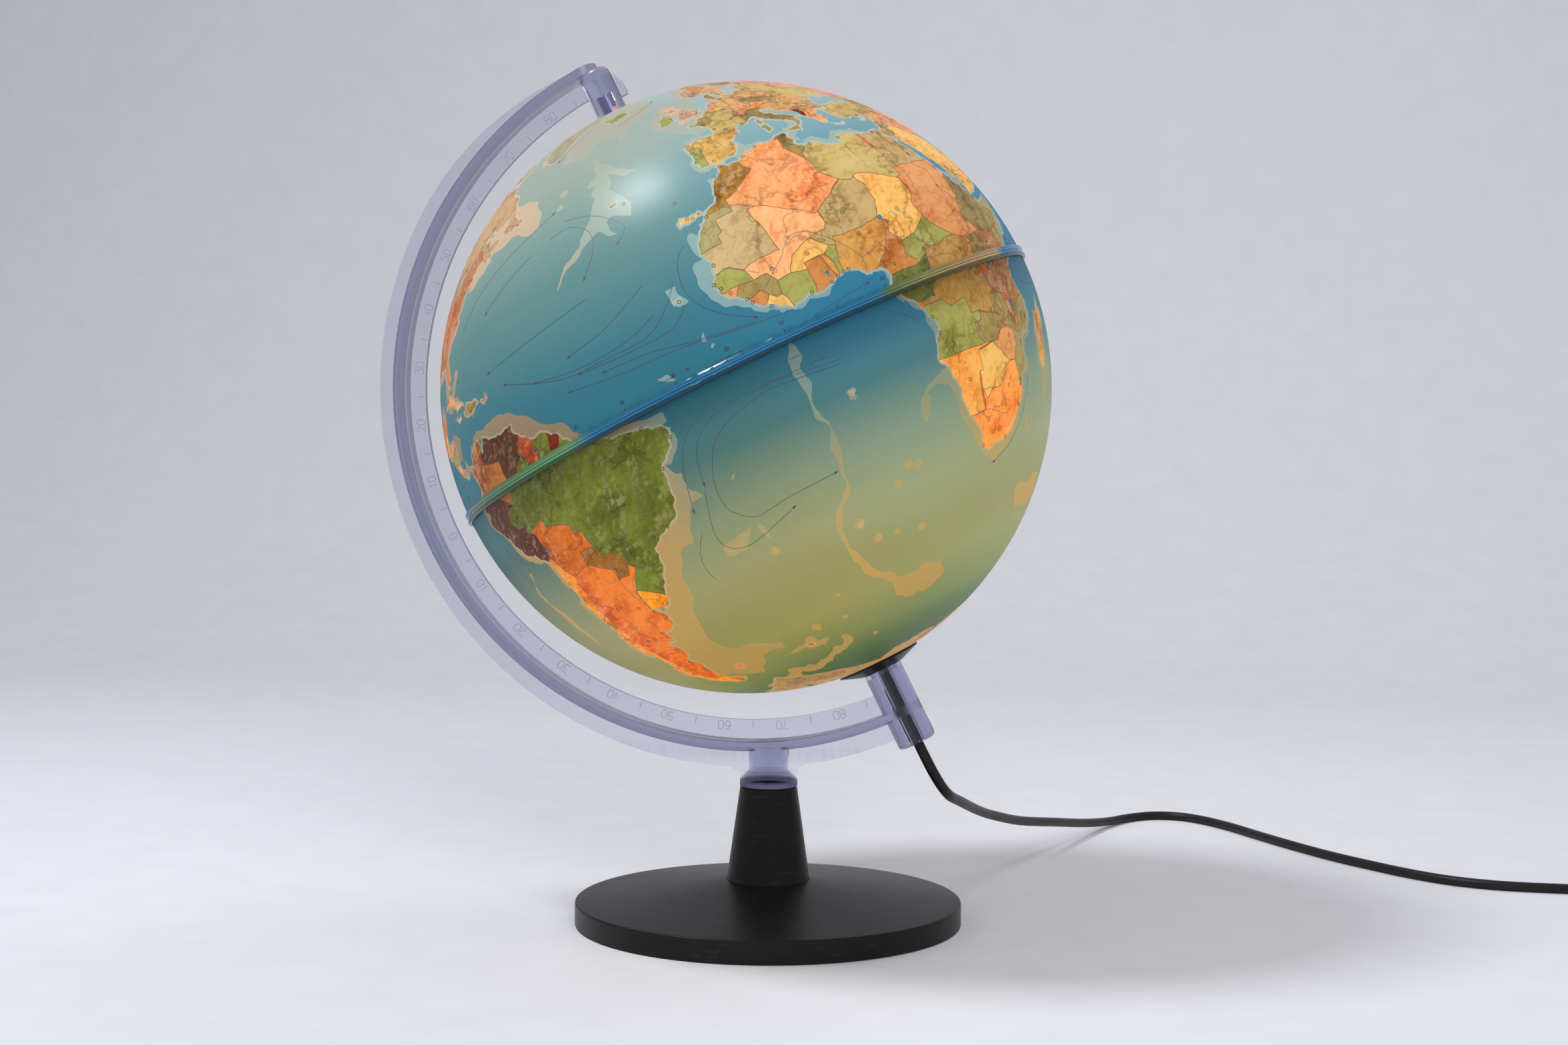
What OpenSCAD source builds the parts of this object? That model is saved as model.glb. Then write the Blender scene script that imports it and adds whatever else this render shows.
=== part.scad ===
// Illuminated desk globe: a tilted globe on a clear meridian arm, a weighted
// round base, a lamp inside the globe and a mains lead with switch and plug.
// Origin: centre of the pad under the base. +Z up. The arm lies in the XZ plane
// and the north pole leans towards -X.

/* [Globe] */
// Outer diameter of the globe
globe_d = 300; // [260:1:340]
// Wall of the two hemispheres
shell_t = 1.6; // [1.2:0.1:2.4]
// Lean of the axis from upright
tilt = 26.5; // [20:0.5:30]
// Height of the globe's centre above the table
globe_z = 265; // [262:1:300]
// Offset of the globe's centre from the middle of the base
globe_x = -12; // [-20:1:-4]

/* [Equator] */
// Radius of each of the two beads round the equator
bead_r = 1.1; // [0.8:0.1:1.6]
// Distance between the middles of the two beads
bead_pitch = 3.2; // [3:0.1:4.5]
// Thickness of the joining ring's web between the hemispheres
web_t = 0.9; // [0.6:0.1:1.2]
// Width of the joining ring's lip inside the shells
lip_w = 9; // [6:0.5:14]
// Thickness of the joining ring's lip
lip_t = 1.8; // [1.2:0.1:3]

/* [Poles] */
// Radius of the pin at the north pole
pin_r = 3.5; // [2.5:0.1:4.5]
// Length of the pin above its flange
pin_len = 10; // [6:0.5:11]
// Radius of the pin's flange
pin_flange_r = 7.8; // [6:0.1:9]
// Thickness of the pin's flange
pin_flange_t = 1.4; // [1:0.1:2]
// Radius of the pin's shank through the shell
shank_r = 3.1; // [2.4:0.1:3.4]
// Thickness of the clip that holds the pin inside the globe
clip_t = 1; // [0.8:0.1:1.5]
// Radius of the clip
clip_r = 8; // [6:0.5:12]
// Radius of the dished cap at the south pole
dish_r = 21; // [19:0.5:26]
// Thickness of the dished cap at its bore
dish_t = 3.2; // [2.6:0.1:4]
// Thickness of the dished cap's rim
dish_rim_t = 1; // [0.8:0.1:1.4]
// Radius of the hole in the southern hemisphere
south_hole_r = 16.5; // [16:0.5:18]

/* [Arm] */
// Gap between the globe and the inner edge of the arm
arm_gap = 14; // [8:0.5:18]
// Depth of the arm's web from inner to outer edge
web_depth = 24; // [20:0.5:30]
// Thickness of the web that carries the degree scale
scale_web_t = 3; // [2:0.1:4]
// Thickness of the fin outside the flange
fin_t = 1.8; // [1.4:0.1:3]
// Distance from the inner edge to the flange
flange_in = 10.6; // [9:0.1:13]
// Thickness of the flange
flange_t = 4.2; // [3:0.1:5]
// Width of the flange across the web
flange_w = 17; // [12:0.5:18]
// Radius of the boss at the north pole
boss_r = 7.8; // [7:0.1:9]
// Gap between the boss and the pin's flange
boss_gap = 0.3; // [0.3:0.1:1]
// Radius of the rounded end of the arm beyond the boss
arm_end_r = 17; // [16:0.5:18]
// Place of the rounded end's middle, across from the boss's axis
arm_end_x = -5.5; // [-7:0.1:-4]
// Radius of the tube at the south pole
tube_r = 9.75; // [9.5:0.05:11]
// Length of the tube
tube_len = 40; // [36:0.5:46]
// Radius of the bore that the lead leaves by
lead_bore_r = 3.1; // [2.8:0.05:3.6]
// Radius of the rounded corner at the tube's mouth
mouth_round = 1.6; // [0.8:0.1:2.5]
// Angle over which the fin fades out below the boss
fin_fade = 38; // [25:1:50]
// Radius of the stem under the arm
stem_r = 10; // [8:0.25:11]
// Radius of the collar where the stem stands on the neck
collar_r = 14.3; // [13:0.1:15]
// Height of the collar's straight side
collar_h = 3.4; // [2:0.1:5]
// Radius of the fillets between fin and collar
stem_fillet = 7; // [4:0.5:8]
// Radius of the spigot inside the neck
spigot_r = 8; // [7:0.1:9]
// Length of the spigot inside the neck
spigot_len = 34; // [20:1:40]

/* [Neck] */
// Height of the top of the neck above the table
neck_top_z = 68.5; // [64:0.5:74]
// Radius of the neck at its foot
neck_foot_r = 20.6; // [19:0.1:24]
// Radius of the neck at its top
neck_top_r = 14.3; // [13:0.1:16]
// Wall of the neck
neck_wall = 3; // [2:0.1:4]
// Rounding of the neck's upper edge
neck_round = 1.6; // [0.8:0.1:2.4]
// Depth of the neck's foot in the seat in the base
neck_seat = 2; // [1:0.1:3]

/* [Base] */
// Outer radius of the base
base_r = 96; // [88:1:110]
// Height of the base's straight edge
base_edge_h = 10.5; // [8:0.5:14]
// Height of the cone's top, where the neck stands
base_top_z = 21.8; // [19:0.2:26]
// Wall of the base
base_wall = 3; // [2:0.1:4]
// Fillet at the base's upper edge
base_round = 1.1; // [0.6:0.1:2]
// Thickness of the pad under the base
pad_t = 1.6; // [1.2:0.1:2.5]
// Height of the rim above the table
rim_lift = 0.6; // [0.4:0.1:1]
// Thickness of the steel weight
ballast_t = 5; // [3:0.5:5.5]
// Number of screws that hold the weight
ballast_screw_count = 4; // [3:1:8]
// Radius of the circle of those screws
ballast_screw_ring = 62; // [50:1:68]
// Radius of the screws' shanks
screw_r = 1.75; // [1.5:0.05:2]
// Length of the screws' shanks
screw_len = 6; // [4:0.5:7]
// Radius of the stem bolt's shank
bolt_r = 3; // [2.5:0.1:3.5]

/* [Lamp] */
// Radius of the lamp carrier's neck, on which the globe turns
carrier_r = 8; // [7.5:0.1:8.5]
// Radial running clearance at both poles
run_gap = 0.06; // [0.04:0.01:0.1]
// Outer radius of the lampholder
holder_r = 14; // [12.5:0.1:15]
// Length of the lampholder
holder_len = 38; // [34:1:44]
// Height of the lampholder's bottom inside the globe's skin
holder_lift = 7; // [5:0.5:10]
// Thickness of the lampholder's bottom
holder_floor = 2.6; // [2:0.1:4]
// Thickness of the insulator in the lampholder
insert_t = 6; // [4:0.5:8]
// Radius of the bulb's screw cap
cap_r = 7; // [6.5:0.1:7.2]
// Length of the bulb's screw cap
cap_len = 24; // [20:0.5:26]
// Radius of the bulb's glass
bulb_r = 13; // [11:0.5:15]
// Length of the bulb's glass
bulb_len = 38; // [32:1:46]
// Length of the glass neck that stands in the lampholder
neck_len = 5.4; // [4:0.1:8]

/* [Lead] */
// Diameter of the lead
lead_d = 5.2; // [4.8:0.1:5.4]
// Flat sides of the lead's tube
lead_sides = 10; // [8:1:12]
// Rings between two points of the lead's route
lead_steps = 3; // [2:1:3]
// Middle radius of the coil
coil_r = 28.6; // [26:0.2:32]
// Turns that lie beside each other in the coil
coil_wide = 3; // [2:1:3]
// Layers of the coil
coil_high = 2; // [1:1:3]

/* [Switch] */
// Length of the switch along the lead
switch_len = 60; // [54:1:70]
// Width of the switch
switch_w = 25; // [23:0.5:30]
// Height of the switch
switch_h = 19; // [19:0.5:23]
// Wall of the switch
switch_wall = 2; // [1.6:0.1:2.4]
// Corner radius of the switch
switch_corner = 6; // [3:0.5:8]
// Length of the rocker
rocker_len = 22; // [18:0.5:26]
// Width of the rocker
rocker_w = 9; // [7:0.5:11]
// Height of the rocker above the cover at its raised end
rocker_rise = 2.4; // [1.6:0.1:3]
// Half of the rocker's travel
rocker_angle = 7; // [5:0.5:9]
// Radius of the rocker's pin
rocker_pin_r = 1.2; // [1:0.1:1.5]

/* [Plug] */
// Length of the plug's body
plug_len = 36; // [32:1:40]
// Width of the plug at its face
plug_w = 35; // [33:0.5:36]
// Thickness of the plug
plug_h = 13.7; // [13:0.1:15]
// Length of the plug's strain relief
plug_boot_len = 20; // [16:1:30]
// Radius of the plug's pins
plug_pin_r = 2; // [1.9:0.05:2.1]
// Length of the plug's pins
plug_pin_len = 19; // [18:0.5:20]
// Distance between the plug's pins
plug_pitch = 18.2; // [17.5:0.1:19]

/* [Hidden] */
$fn = 96;

// face-to-face pieces keep this much apart where their shared face is curved
skin = 0.05;
// loose fits of parts that don't move
slip = 0.2;
// axial play of what turns
seat_gap = 0.3;
// between a shaft and the ring that grips it
grip_gap = 0.02;
// how far the pin's shank stands past its clip
shank_over = 2;

globe_r = globe_d / 2;
bore_in = globe_r - shell_t;
arm_in = globe_r + arm_gap;
arm_out = arm_in + web_depth;
flange_r = arm_in + flange_in;
flange_out = flange_r + flange_t;
pin_flange_top = globe_r + skin + pin_flange_t;
boss_bottom = pin_flange_top + boss_gap;
dish_bottom = globe_r + dish_t;
tube_top = dish_bottom + seat_gap;
tube_end = tube_top + tube_len;
holder_bottom = globe_r - holder_lift;
cap_bottom = holder_bottom - holder_floor - insert_t - seat_gap;
clip_top = sqrt(bore_in * bore_in - clip_r * clip_r) - slip;
ballast_r = base_r - base_wall - slip;
ballast_top = pad_t + ballast_t;
screw_seat_z = pad_t + ballast_t / 2;

// a point on the lead's way out of the tube, at a distance past its mouth
function past_mouth(d) = [globe_x + (tube_end + d) * sin(tilt), 0, globe_z - (tube_end + d) * cos(tilt)];
lead_r = lead_d / 2;
coil_half = coil_wide * lead_d / 2;
coil_h = coil_high * lead_d;
coil_x = 455;
coil_y = 108;
// the lead's route to the coil, chosen by hand: a hanging stretch, then along the table
route = [past_mouth(0), past_mouth(7), [81.8, 1.8, 76.8], [85.6, 6.9, 69.3], [88.4, 14.6, 64], [90.3, 24.5, 60.6],
         [91.8, 36.5, 57.6], [93.2, 51, 54], [95, 70, 49.3], [98, 95, 43], [103, 124, 36], [116, 172, 25],
         [134, 226, 15.5], [150, 270, 8], [163, 302, 3.8], [176, 325, 2.6], [191, 336.5, 2.6], [208, 336, 2.6],
         [223, 324, 2.6], [238, 304, 2.6], [254, 276, 2.6], [272, 246, 2.6], [292, 216, 2.6], [312, 191, 2.6],
         [331, 170, 2.6], [350, 154.6, 2.6], [370, 146, 2.6], [392, 142.6, 2.6], [424, 141.8, 2.6],
         [coil_x, coil_y + coil_r + coil_half - lead_r, 2.6]];
tail_x = coil_x + coil_r + coil_half - lead_r;
tail_z = coil_h - lead_r;
switch_y = 34;
plug_y = -20;

// the rocker's pin, below the top of the cover, and the cheeks that carry it
pivot_z = switch_h - 4;
cheek_gap = 0.4;
cheek_t = 2;
cheek_half = 3;
// the switch's screws: place, thread, head and the posts round them
screw_x = switch_len / 2 - 6;
screw_y = switch_w / 2 - 5;
thread_r = 1;
head_r = 2;
head_t = 1.4;
post_r = 2.6;
bite = 5;
// terminal blocks and contact strips
terminal = [8, 4.6, 5];
strip_t = 0.6;
terminal_x = 12;
tail_route = [[tail_x, coil_y, tail_z], [tail_x, 80, tail_z], [tail_x, 50, tail_z], [tail_x, 20, tail_z],
              [tail_x, 2, tail_z], [tail_x, -10, plug_h / 2], [tail_x, plug_y, plug_h / 2]];

// ---------- placing ----------
// local +Z points to the north pole, the origin is the globe's centre
module on_axis() {
    translate([globe_x, 0, globe_z]) rotate([0, -tilt, 0]) children();
}
// local +Z points out through the south pole
module at_south() {
    on_axis() rotate([180, 0, 0]) children();
}
// a flat outline in X and Z, given thickness t across Y
module upright(t) {
    translate([0, t / 2, 0]) rotate([90, 0, 0]) linear_extrude(t) children();
}
// a ring sector in the arm's plane, from angle a over span
module arc_bar(r0, r1, w, a, span) {
    rotate([90, 0, 0]) rotate([0, 0, a])
        rotate_extrude(angle = span, $fn = 192) translate([r0, -w / 2]) square([r1 - r0, w]);
}

// ---------- base ----------
function cone_z(r) = base_edge_h + base_round
    + (base_top_z - base_edge_h - base_round) * (base_r - base_round - r) / (base_r - base_round - neck_foot_r);

module base_shell() color([0.03, 0.03, 0.035]) {
    difference() {
        rotate_extrude() difference() {
            union() {
                polygon([[0, rim_lift], [base_r, rim_lift], [base_r, base_edge_h],
                         [base_r - base_round, base_edge_h + base_round],
                         [neck_foot_r + slip, cone_z(neck_foot_r + slip)], [0, cone_z(neck_foot_r + slip)]]);
                translate([base_r - base_round, base_edge_h]) circle(base_round, $fn = 32);
            }
            // hollow underside
            polygon([[neck_foot_r, -1], [base_r - base_wall, -1], [base_r - base_wall, base_edge_h - base_wall],
                     [neck_foot_r, cone_z(neck_foot_r) - neck_seat - base_wall]]);
            // room for the pad and the weight
            translate([0, -1]) square([base_r - base_wall, 1 + ballast_top + skin]);
        }
        // seat for the neck, and the hole for the stem bolt
        translate([0, 0, base_top_z - neck_seat]) cylinder(r = neck_foot_r + slip, h = 10);
        translate([0, 0, -1]) cylinder(r = bolt_r + slip, h = 40, $fn = 48);
    }
    // bosses for the weight's screws
    for (i = [0:ballast_screw_count - 1]) rotate([0, 0, (i + 0.5) * 360 / ballast_screw_count])
        translate([ballast_screw_ring, 0, 0]) difference() {
            boss_top = cone_z(ballast_screw_ring + 2 * screw_r) - base_wall / 2;
            translate([0, 0, ballast_top + skin]) cylinder(r = 2.2 * screw_r, h = boss_top - ballast_top - skin, $fn = 48);
            cylinder(r = screw_r, h = screw_seat_z + screw_len, $fn = 48);
        }
}

module neck_cone() color([0.03, 0.03, 0.035]) difference() {
    foot_z = base_top_z - neck_seat;
    rotate_extrude() difference() {
        union() {
            polygon([[0, foot_z], [neck_foot_r, foot_z], [neck_foot_r, base_top_z],
                     [neck_top_r, neck_top_z - neck_round], [neck_top_r - neck_round, neck_top_z], [0, neck_top_z]]);
            translate([neck_top_r - neck_round, neck_top_z - neck_round]) circle(neck_round, $fn = 32);
        }
        // hollow between the wall and the spigot's sleeve
        polygon([[spigot_r + neck_wall, foot_z - 1], [neck_foot_r - neck_wall, foot_z - 1],
                 [neck_foot_r - neck_wall, base_top_z], [spigot_r + neck_wall, neck_top_z - 26]]);
    }
    // socket for the arm's spigot, and the hole for the bolt
    translate([0, 0, neck_top_z - spigot_len - 1]) cylinder(r = spigot_r + slip, h = spigot_len + 5);
    cylinder(r = bolt_r + slip, h = neck_top_z, $fn = 48);
}

module ballast_plate() color([0.45, 0.46, 0.48]) difference() {
    translate([0, 0, pad_t]) cylinder(r = ballast_r, h = ballast_t);
    translate([0, 0, -1]) cylinder(r = bolt_r + slip, h = 20, $fn = 48);
    translate([0, 0, -1]) cylinder(r = 2.2 * bolt_r, h = 1 + screw_seat_z, $fn = 48);
    for (i = [0:ballast_screw_count - 1]) rotate([0, 0, (i + 0.5) * 360 / ballast_screw_count])
        translate([ballast_screw_ring, 0, 0]) {
            translate([0, 0, -1]) cylinder(r = screw_r + slip, h = 20, $fn = 48);
            translate([0, 0, -1]) cylinder(r = 2.2 * screw_r, h = 1 + screw_seat_z, $fn = 48);
        }
}

module base_pad() color([0.12, 0.12, 0.12]) cylinder(r = ballast_r, h = pad_t);

module ballast_screws() color([0.7, 0.7, 0.72])
    for (i = [0:ballast_screw_count - 1]) rotate([0, 0, (i + 0.5) * 360 / ballast_screw_count])
        translate([ballast_screw_ring, 0, screw_seat_z]) {
            translate([0, 0, -screw_r]) cylinder(r = 2 * screw_r, h = screw_r, $fn = 48);
            cylinder(r = screw_r, h = screw_len, $fn = 48);
        }

module stem_bolt() color([0.7, 0.7, 0.72]) {
    translate([0, 0, pad_t]) cylinder(r = 2 * bolt_r, h = screw_seat_z - pad_t, $fn = 48);
    translate([0, 0, screw_seat_z]) cylinder(r = bolt_r, h = neck_top_z - spigot_len / 2 - screw_seat_z, $fn = 48);
}

// ---------- arm ----------
// outline of the fin about the globe's centre, north pole upwards: it follows the web's
// outer edge and fades into the flange below the boss
module fin_outline() {
    fade_r = (arm_out * arm_out - flange_out * flange_out) / (2 * (arm_out - flange_out * cos(fin_fade)));
    far = 2 * arm_out;
    fade_start = [-far, far * cos(fin_fade) / sin(fin_fade)];
    difference() {
        union() {
            intersection() {
                circle(arm_out, $fn = 192);
                polygon([[0, 0], [0, -far], [-far, -far], fade_start]);
            }
            intersection() {
                translate([-fade_r * sin(fin_fade), fade_r * cos(fin_fade)]) circle(arm_out - fade_r, $fn = 192);
                polygon([[0, 0], fade_start, [0, far]]);
            }
        }
        circle(flange_r + flange_t / 4, $fn = 192);
    }
}

// fillet where the fin runs down to the collar, on the side of +X or -X
module fin_fillet(side) {
    foot_x = side * (collar_r - 0.5);
    mid_x = foot_x + side * stem_fillet;
    reach = arm_out + stem_fillet;
    mid_z = globe_z - sqrt(reach * reach - pow(mid_x - globe_x, 2));
    to_arm = ([globe_x, globe_z] - [mid_x, mid_z]) / reach;
    difference() {
        polygon([[foot_x, mid_z], [mid_x, mid_z], [mid_x, mid_z] + (stem_fillet + 1.5) * to_arm,
                 [0, mid_z + stem_fillet + 1.5], [0, mid_z]]);
        translate([mid_x, mid_z]) circle(stem_fillet, $fn = 64);
    }
}

module meridian_arm() color([0.62, 0.63, 0.74, 0.6]) difference() {
    union() {
        on_axis() {
            // web with the scale
            arc_bar(arm_in, flange_r + flange_t / 2, scale_web_t, 90, 180);
            // flange across it, its ends round
            intersection() {
                arc_bar(flange_r, flange_out, 2 * flange_w, 80, 200);
                translate([0, 0, -arm_out]) linear_extrude(2 * arm_out) {
                    translate([arm_end_x - 2 * arm_out, -flange_w / 2]) square([2 * arm_out, flange_w]);
                    translate([arm_end_x, 0]) circle(flange_w / 2);
                }
            }
            // rounded end of the web beyond the boss
            upright(scale_web_t) intersection() {
                translate([arm_end_x, flange_out - 0.8 - arm_end_r]) circle(arm_end_r);
                translate([arm_end_x, boss_bottom + 6]) square([30, 30]);
            }
            // boss at the north pole, its top rounded
            rotate_extrude() {
                top = flange_r + flange_t / 3;
                round_r = 0.45 * boss_r;
                translate([0, boss_bottom]) square([boss_r, top - round_r - boss_bottom]);
                translate([0, boss_bottom]) square([boss_r - round_r, top - boss_bottom]);
                translate([boss_r - round_r, top - round_r]) circle(round_r, $fn = 48);
            }
        }
        // fin outside the flange, running down to the collar
        upright(fin_t) {
            translate([globe_x, globe_z]) rotate(tilt) fin_outline();
            fin_fillet(1);
            fin_fillet(-1);
        }
        // tube at the south pole, its mouth rounded
        at_south() rotate_extrude() {
            translate([0, tube_top]) square([tube_r, tube_len - mouth_round]);
            translate([0, tube_top]) square([tube_r - mouth_round, tube_len]);
            translate([tube_r - mouth_round, tube_end - mouth_round]) circle(mouth_round, $fn = 32);
        }
        // stem, collar and the spigot in the neck
        rotate_extrude() {
            translate([0, neck_top_z + 1]) square([stem_r, globe_z - flange_r - flange_t / 2 - neck_top_z - 1]);
            polygon([[0, neck_top_z], [collar_r, neck_top_z], [collar_r, neck_top_z + collar_h],
                     [stem_r, neck_top_z + collar_h + collar_r - stem_r],
                     [0, neck_top_z + collar_h + collar_r - stem_r]]);
            translate([0, neck_top_z - spigot_len]) square([spigot_r, spigot_len + 1]);
        }
    }
    // blind bore for the north pin
    on_axis() translate([0, 0, boss_bottom - 1]) cylinder(r = pin_r + run_gap, h = pin_len + 1 + seat_gap - boss_gap, $fn = 64);
    // seat for the lamp carrier, and the lead's bore
    at_south() translate([0, 0, tube_top - 1]) cylinder(r = carrier_r - 1 + skin, h = 3 + skin, $fn = 64);
    at_south() translate([0, 0, tube_top - 1]) cylinder(r = lead_bore_r, h = tube_len + 2, $fn = 64);
    // hole for the stem bolt
    translate([0, 0, neck_top_z - spigot_len - 1]) cylinder(r = bolt_r, h = spigot_len / 2 + 2, $fn = 48);
}

// ---------- lamp ----------
module lamp_carrier() color([0.05, 0.05, 0.05]) at_south() difference() {
    union() {
        translate([0, 0, holder_bottom]) cylinder(r = carrier_r, h = tube_top - holder_bottom, $fn = 64);
        translate([0, 0, tube_top - 0.5]) cylinder(r = carrier_r - 1, h = 2.5, $fn = 64);
    }
    translate([0, 0, holder_bottom - 1]) cylinder(r = lead_bore_r, h = 40, $fn = 64);
}

module lamp_holder() color([0.85, 0.85, 0.82]) at_south() difference() {
    holder_top = holder_bottom - holder_len;
    rotate_extrude() difference() {
        translate([0, holder_top]) square([holder_r, holder_len]);
        // stepped skirt
        translate([holder_r - 1.2, holder_top - 1]) square([3, holder_len / 2 + 1]);
    }
    translate([0, 0, holder_top - 1]) cylinder(r = cap_r + 2 * slip, h = holder_len - holder_floor + 1, $fn = 64);
    translate([0, 0, holder_bottom - holder_floor - 1]) cylinder(r = lead_bore_r, h = holder_floor + 2, $fn = 64);
}

module holder_insert() color([0.92, 0.9, 0.85]) at_south()
    translate([0, 0, holder_bottom - holder_floor - insert_t]) cylinder(r = cap_r + slip, h = insert_t, $fn = 64);

module bulb_cap() color([0.75, 0.75, 0.7]) at_south() translate([0, 0, cap_bottom]) {
    translate([0, 0, -2]) cylinder(r = 3, h = 2, $fn = 48);
    translate([0, 0, -cap_len]) cylinder(r = cap_r, h = cap_len - 2, $fn = 64);
}

module bulb_glass() color([1, 0.93, 0.75, 0.7]) at_south() translate([0, 0, cap_bottom - cap_len])
    rotate([180, 0, 0]) rotate_extrude() {
        intersection() {
            translate([0, bulb_len - bulb_r]) circle(bulb_r, $fn = 64);
            square([bulb_r, bulb_len]);
        }
        polygon([[0, 0], [cap_r - 0.6, 0], [cap_r - 0.2, neck_len], [bulb_r * 0.92, bulb_len - bulb_r - bulb_r * 0.39],
                 [0, bulb_len - bulb_r]]);
    }

module inner_lead() color([0.02, 0.02, 0.02]) at_south()
    translate([0, 0, holder_bottom - holder_floor]) cylinder(r = lead_r, h = tube_end - holder_bottom + holder_floor, $fn = 32);

// ---------- globe ----------
module half_shell(hole_r) difference() {
    sphere(globe_r, $fn = 192);
    sphere(bore_in, $fn = 192);
    translate([0, 0, -globe_r - 1]) cylinder(r = globe_r + 1, h = globe_r + 1 + web_t / 2 + skin);
    cylinder(r = hole_r, h = globe_r + 1, $fn = 64);
}

module north_hemisphere() color([0.45, 0.72, 0.74]) on_axis() half_shell(pin_r + skin);
module south_hemisphere() color([0.62, 0.78, 0.42]) at_south() half_shell(south_hole_r);

module equator_ring() color([0.7, 0.72, 0.45]) on_axis() rotate_extrude($fn = 192) {
    // the two beads outside
    for (side = [-1, 1]) intersection() {
        translate([globe_r + bead_r / 2, side * bead_pitch / 2]) circle(bead_r, $fn = 32);
        translate([globe_r + skin, -bead_pitch]) square([3 * bead_r, 2 * bead_pitch]);
    }
    // the web between the shells and the lip inside them
    translate([bore_in - skin - lip_t, -web_t / 2]) square([lip_t + shell_t + bead_r, web_t]);
    translate([globe_r + skin, -bead_pitch / 2]) square([bead_r * 0.6, bead_pitch]);
    translate([bore_in - skin - lip_t, -lip_w / 2]) square([lip_t - 0.1, lip_w]);
}

// dished cap: it turns with the globe on the carrier's neck
module south_dish() color([0.03, 0.03, 0.035]) at_south() difference() {
    rim_z = sqrt(globe_r * globe_r - dish_r * dish_r);
    rotate_extrude() polygon([[0, rim_z - 2], [dish_r, rim_z - 2], [dish_r, rim_z + dish_rim_t],
                              [dish_r - 4, rim_z + dish_rim_t + 1.5], [carrier_r + 3, dish_bottom], [0, dish_bottom]]);
    sphere(globe_r + skin, $fn = 192);
    cylinder(r = carrier_r + run_gap, h = globe_r + 20, $fn = 64);
}

module north_pin() color([0.95, 0.75, 0.5]) on_axis() {
    difference() {
        union() {
            translate([0, 0, globe_r - 2]) cylinder(r = pin_flange_r, h = pin_flange_top - globe_r + 2, $fn = 64);
            translate([0, 0, globe_r]) cylinder(r = pin_r, h = pin_flange_top - globe_r + pin_len, $fn = 64);
        }
        sphere(globe_r + skin, $fn = 192);
    }
    // shank through the shell, which the clip grips
    translate([0, 0, clip_top - clip_t - shank_over])
        cylinder(r = shank_r, h = globe_r + pin_flange_t - clip_top + clip_t + shank_over, $fn = 64);
}

// flat ring pushed over the pin's shank inside the globe
module north_clip() color([0.7, 0.7, 0.72]) on_axis() translate([0, 0, clip_top - clip_t]) difference() {
    cylinder(r = clip_r, h = clip_t, $fn = 64);
    translate([0, 0, -1]) cylinder(r = shank_r + grip_gap, h = clip_t + 2, $fn = 64);
}

// ---------- lead ----------
function unit(v) = v / norm(v);
// a smooth curve through the route's points
function on_curve(a, b, c, d, t) = 0.5 * ((2 * b) + (c - a) * t + (2 * a - 5 * b + 4 * c - d) * t * t
    + (3 * b - a - 3 * c + d) * t * t * t);
function smooth(p, steps) = [for (i = [0:len(p) - 2], k = [0:steps - 1])
    on_curve(p[max(i - 1, 0)], p[i], p[i + 1], p[min(i + 2, len(p) - 1)], k / steps), p[len(p) - 1]];

module lead_tube(points) {
    path = smooth(points, lead_steps);
    n = len(path);
    along = [for (i = [0:n - 1]) unit(path[min(i + 1, n - 1)] - path[max(i - 1, 0)])];
    side = [for (a = along) unit(cross(a, [0.013, 0.021, 1]))];
    up = [for (i = [0:n - 1]) cross(side[i], along[i])];
    rings = [for (i = [0:n - 1], k = [0:lead_sides - 1])
        path[i] + lead_r * (cos(k * 360 / lead_sides) * side[i] + sin(k * 360 / lead_sides) * up[i])];
    skin_faces = [for (i = [0:n - 2], k = [0:lead_sides - 1]) let (m = (k + 1) % lead_sides)
        [i * lead_sides + k, i * lead_sides + m, (i + 1) * lead_sides + m, (i + 1) * lead_sides + k]];
    ends = [[for (k = [lead_sides - 1:-1:0]) k], [for (k = [0:lead_sides - 1]) (n - 1) * lead_sides + k]];
    polyhedron(rings, concat(skin_faces, ends), convexity = 6);
}

module power_lead() color([0.02, 0.02, 0.02]) lead_tube(route);
module lead_tail() color([0.02, 0.02, 0.02]) lead_tube(tail_route);
module lead_coil() color([0.02, 0.02, 0.02]) translate([coil_x, coil_y, 0])
    rotate_extrude() translate([coil_r - coil_half, 0]) square([2 * coil_half, coil_h]);

// ---------- switch ----------
// local X runs along the lead
module at_switch() {
    translate([tail_x, switch_y, 0]) rotate([0, 0, 90]) children();
}
module at_switch_screws() {
    for (side = [-1, 1]) translate([side * screw_x, -side * screw_y, 0]) children();
}
module switch_plan(inset) {
    square([switch_len - 2 * switch_corner, switch_w - 2 * inset], center = true);
    square([switch_len - 2 * inset, switch_w - 2 * switch_corner], center = true);
    for (sx = [-1, 1], sy = [-1, 1])
        translate([sx * (switch_len / 2 - switch_corner), sy * (switch_w / 2 - switch_corner)])
            circle(switch_corner - inset, $fn = 48);
}
module switch_half(z0, z1, open_z0, open_z1) {
    difference() {
        translate([0, 0, z0]) linear_extrude(z1 - z0) switch_plan(0);
        translate([0, 0, open_z0]) linear_extrude(open_z1 - open_z0) switch_plan(switch_wall);
        translate([-switch_len, 0, tail_z]) rotate([0, 90, 0]) cylinder(r = lead_r + slip, h = 2 * switch_len, $fn = 48);
    }
}

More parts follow.
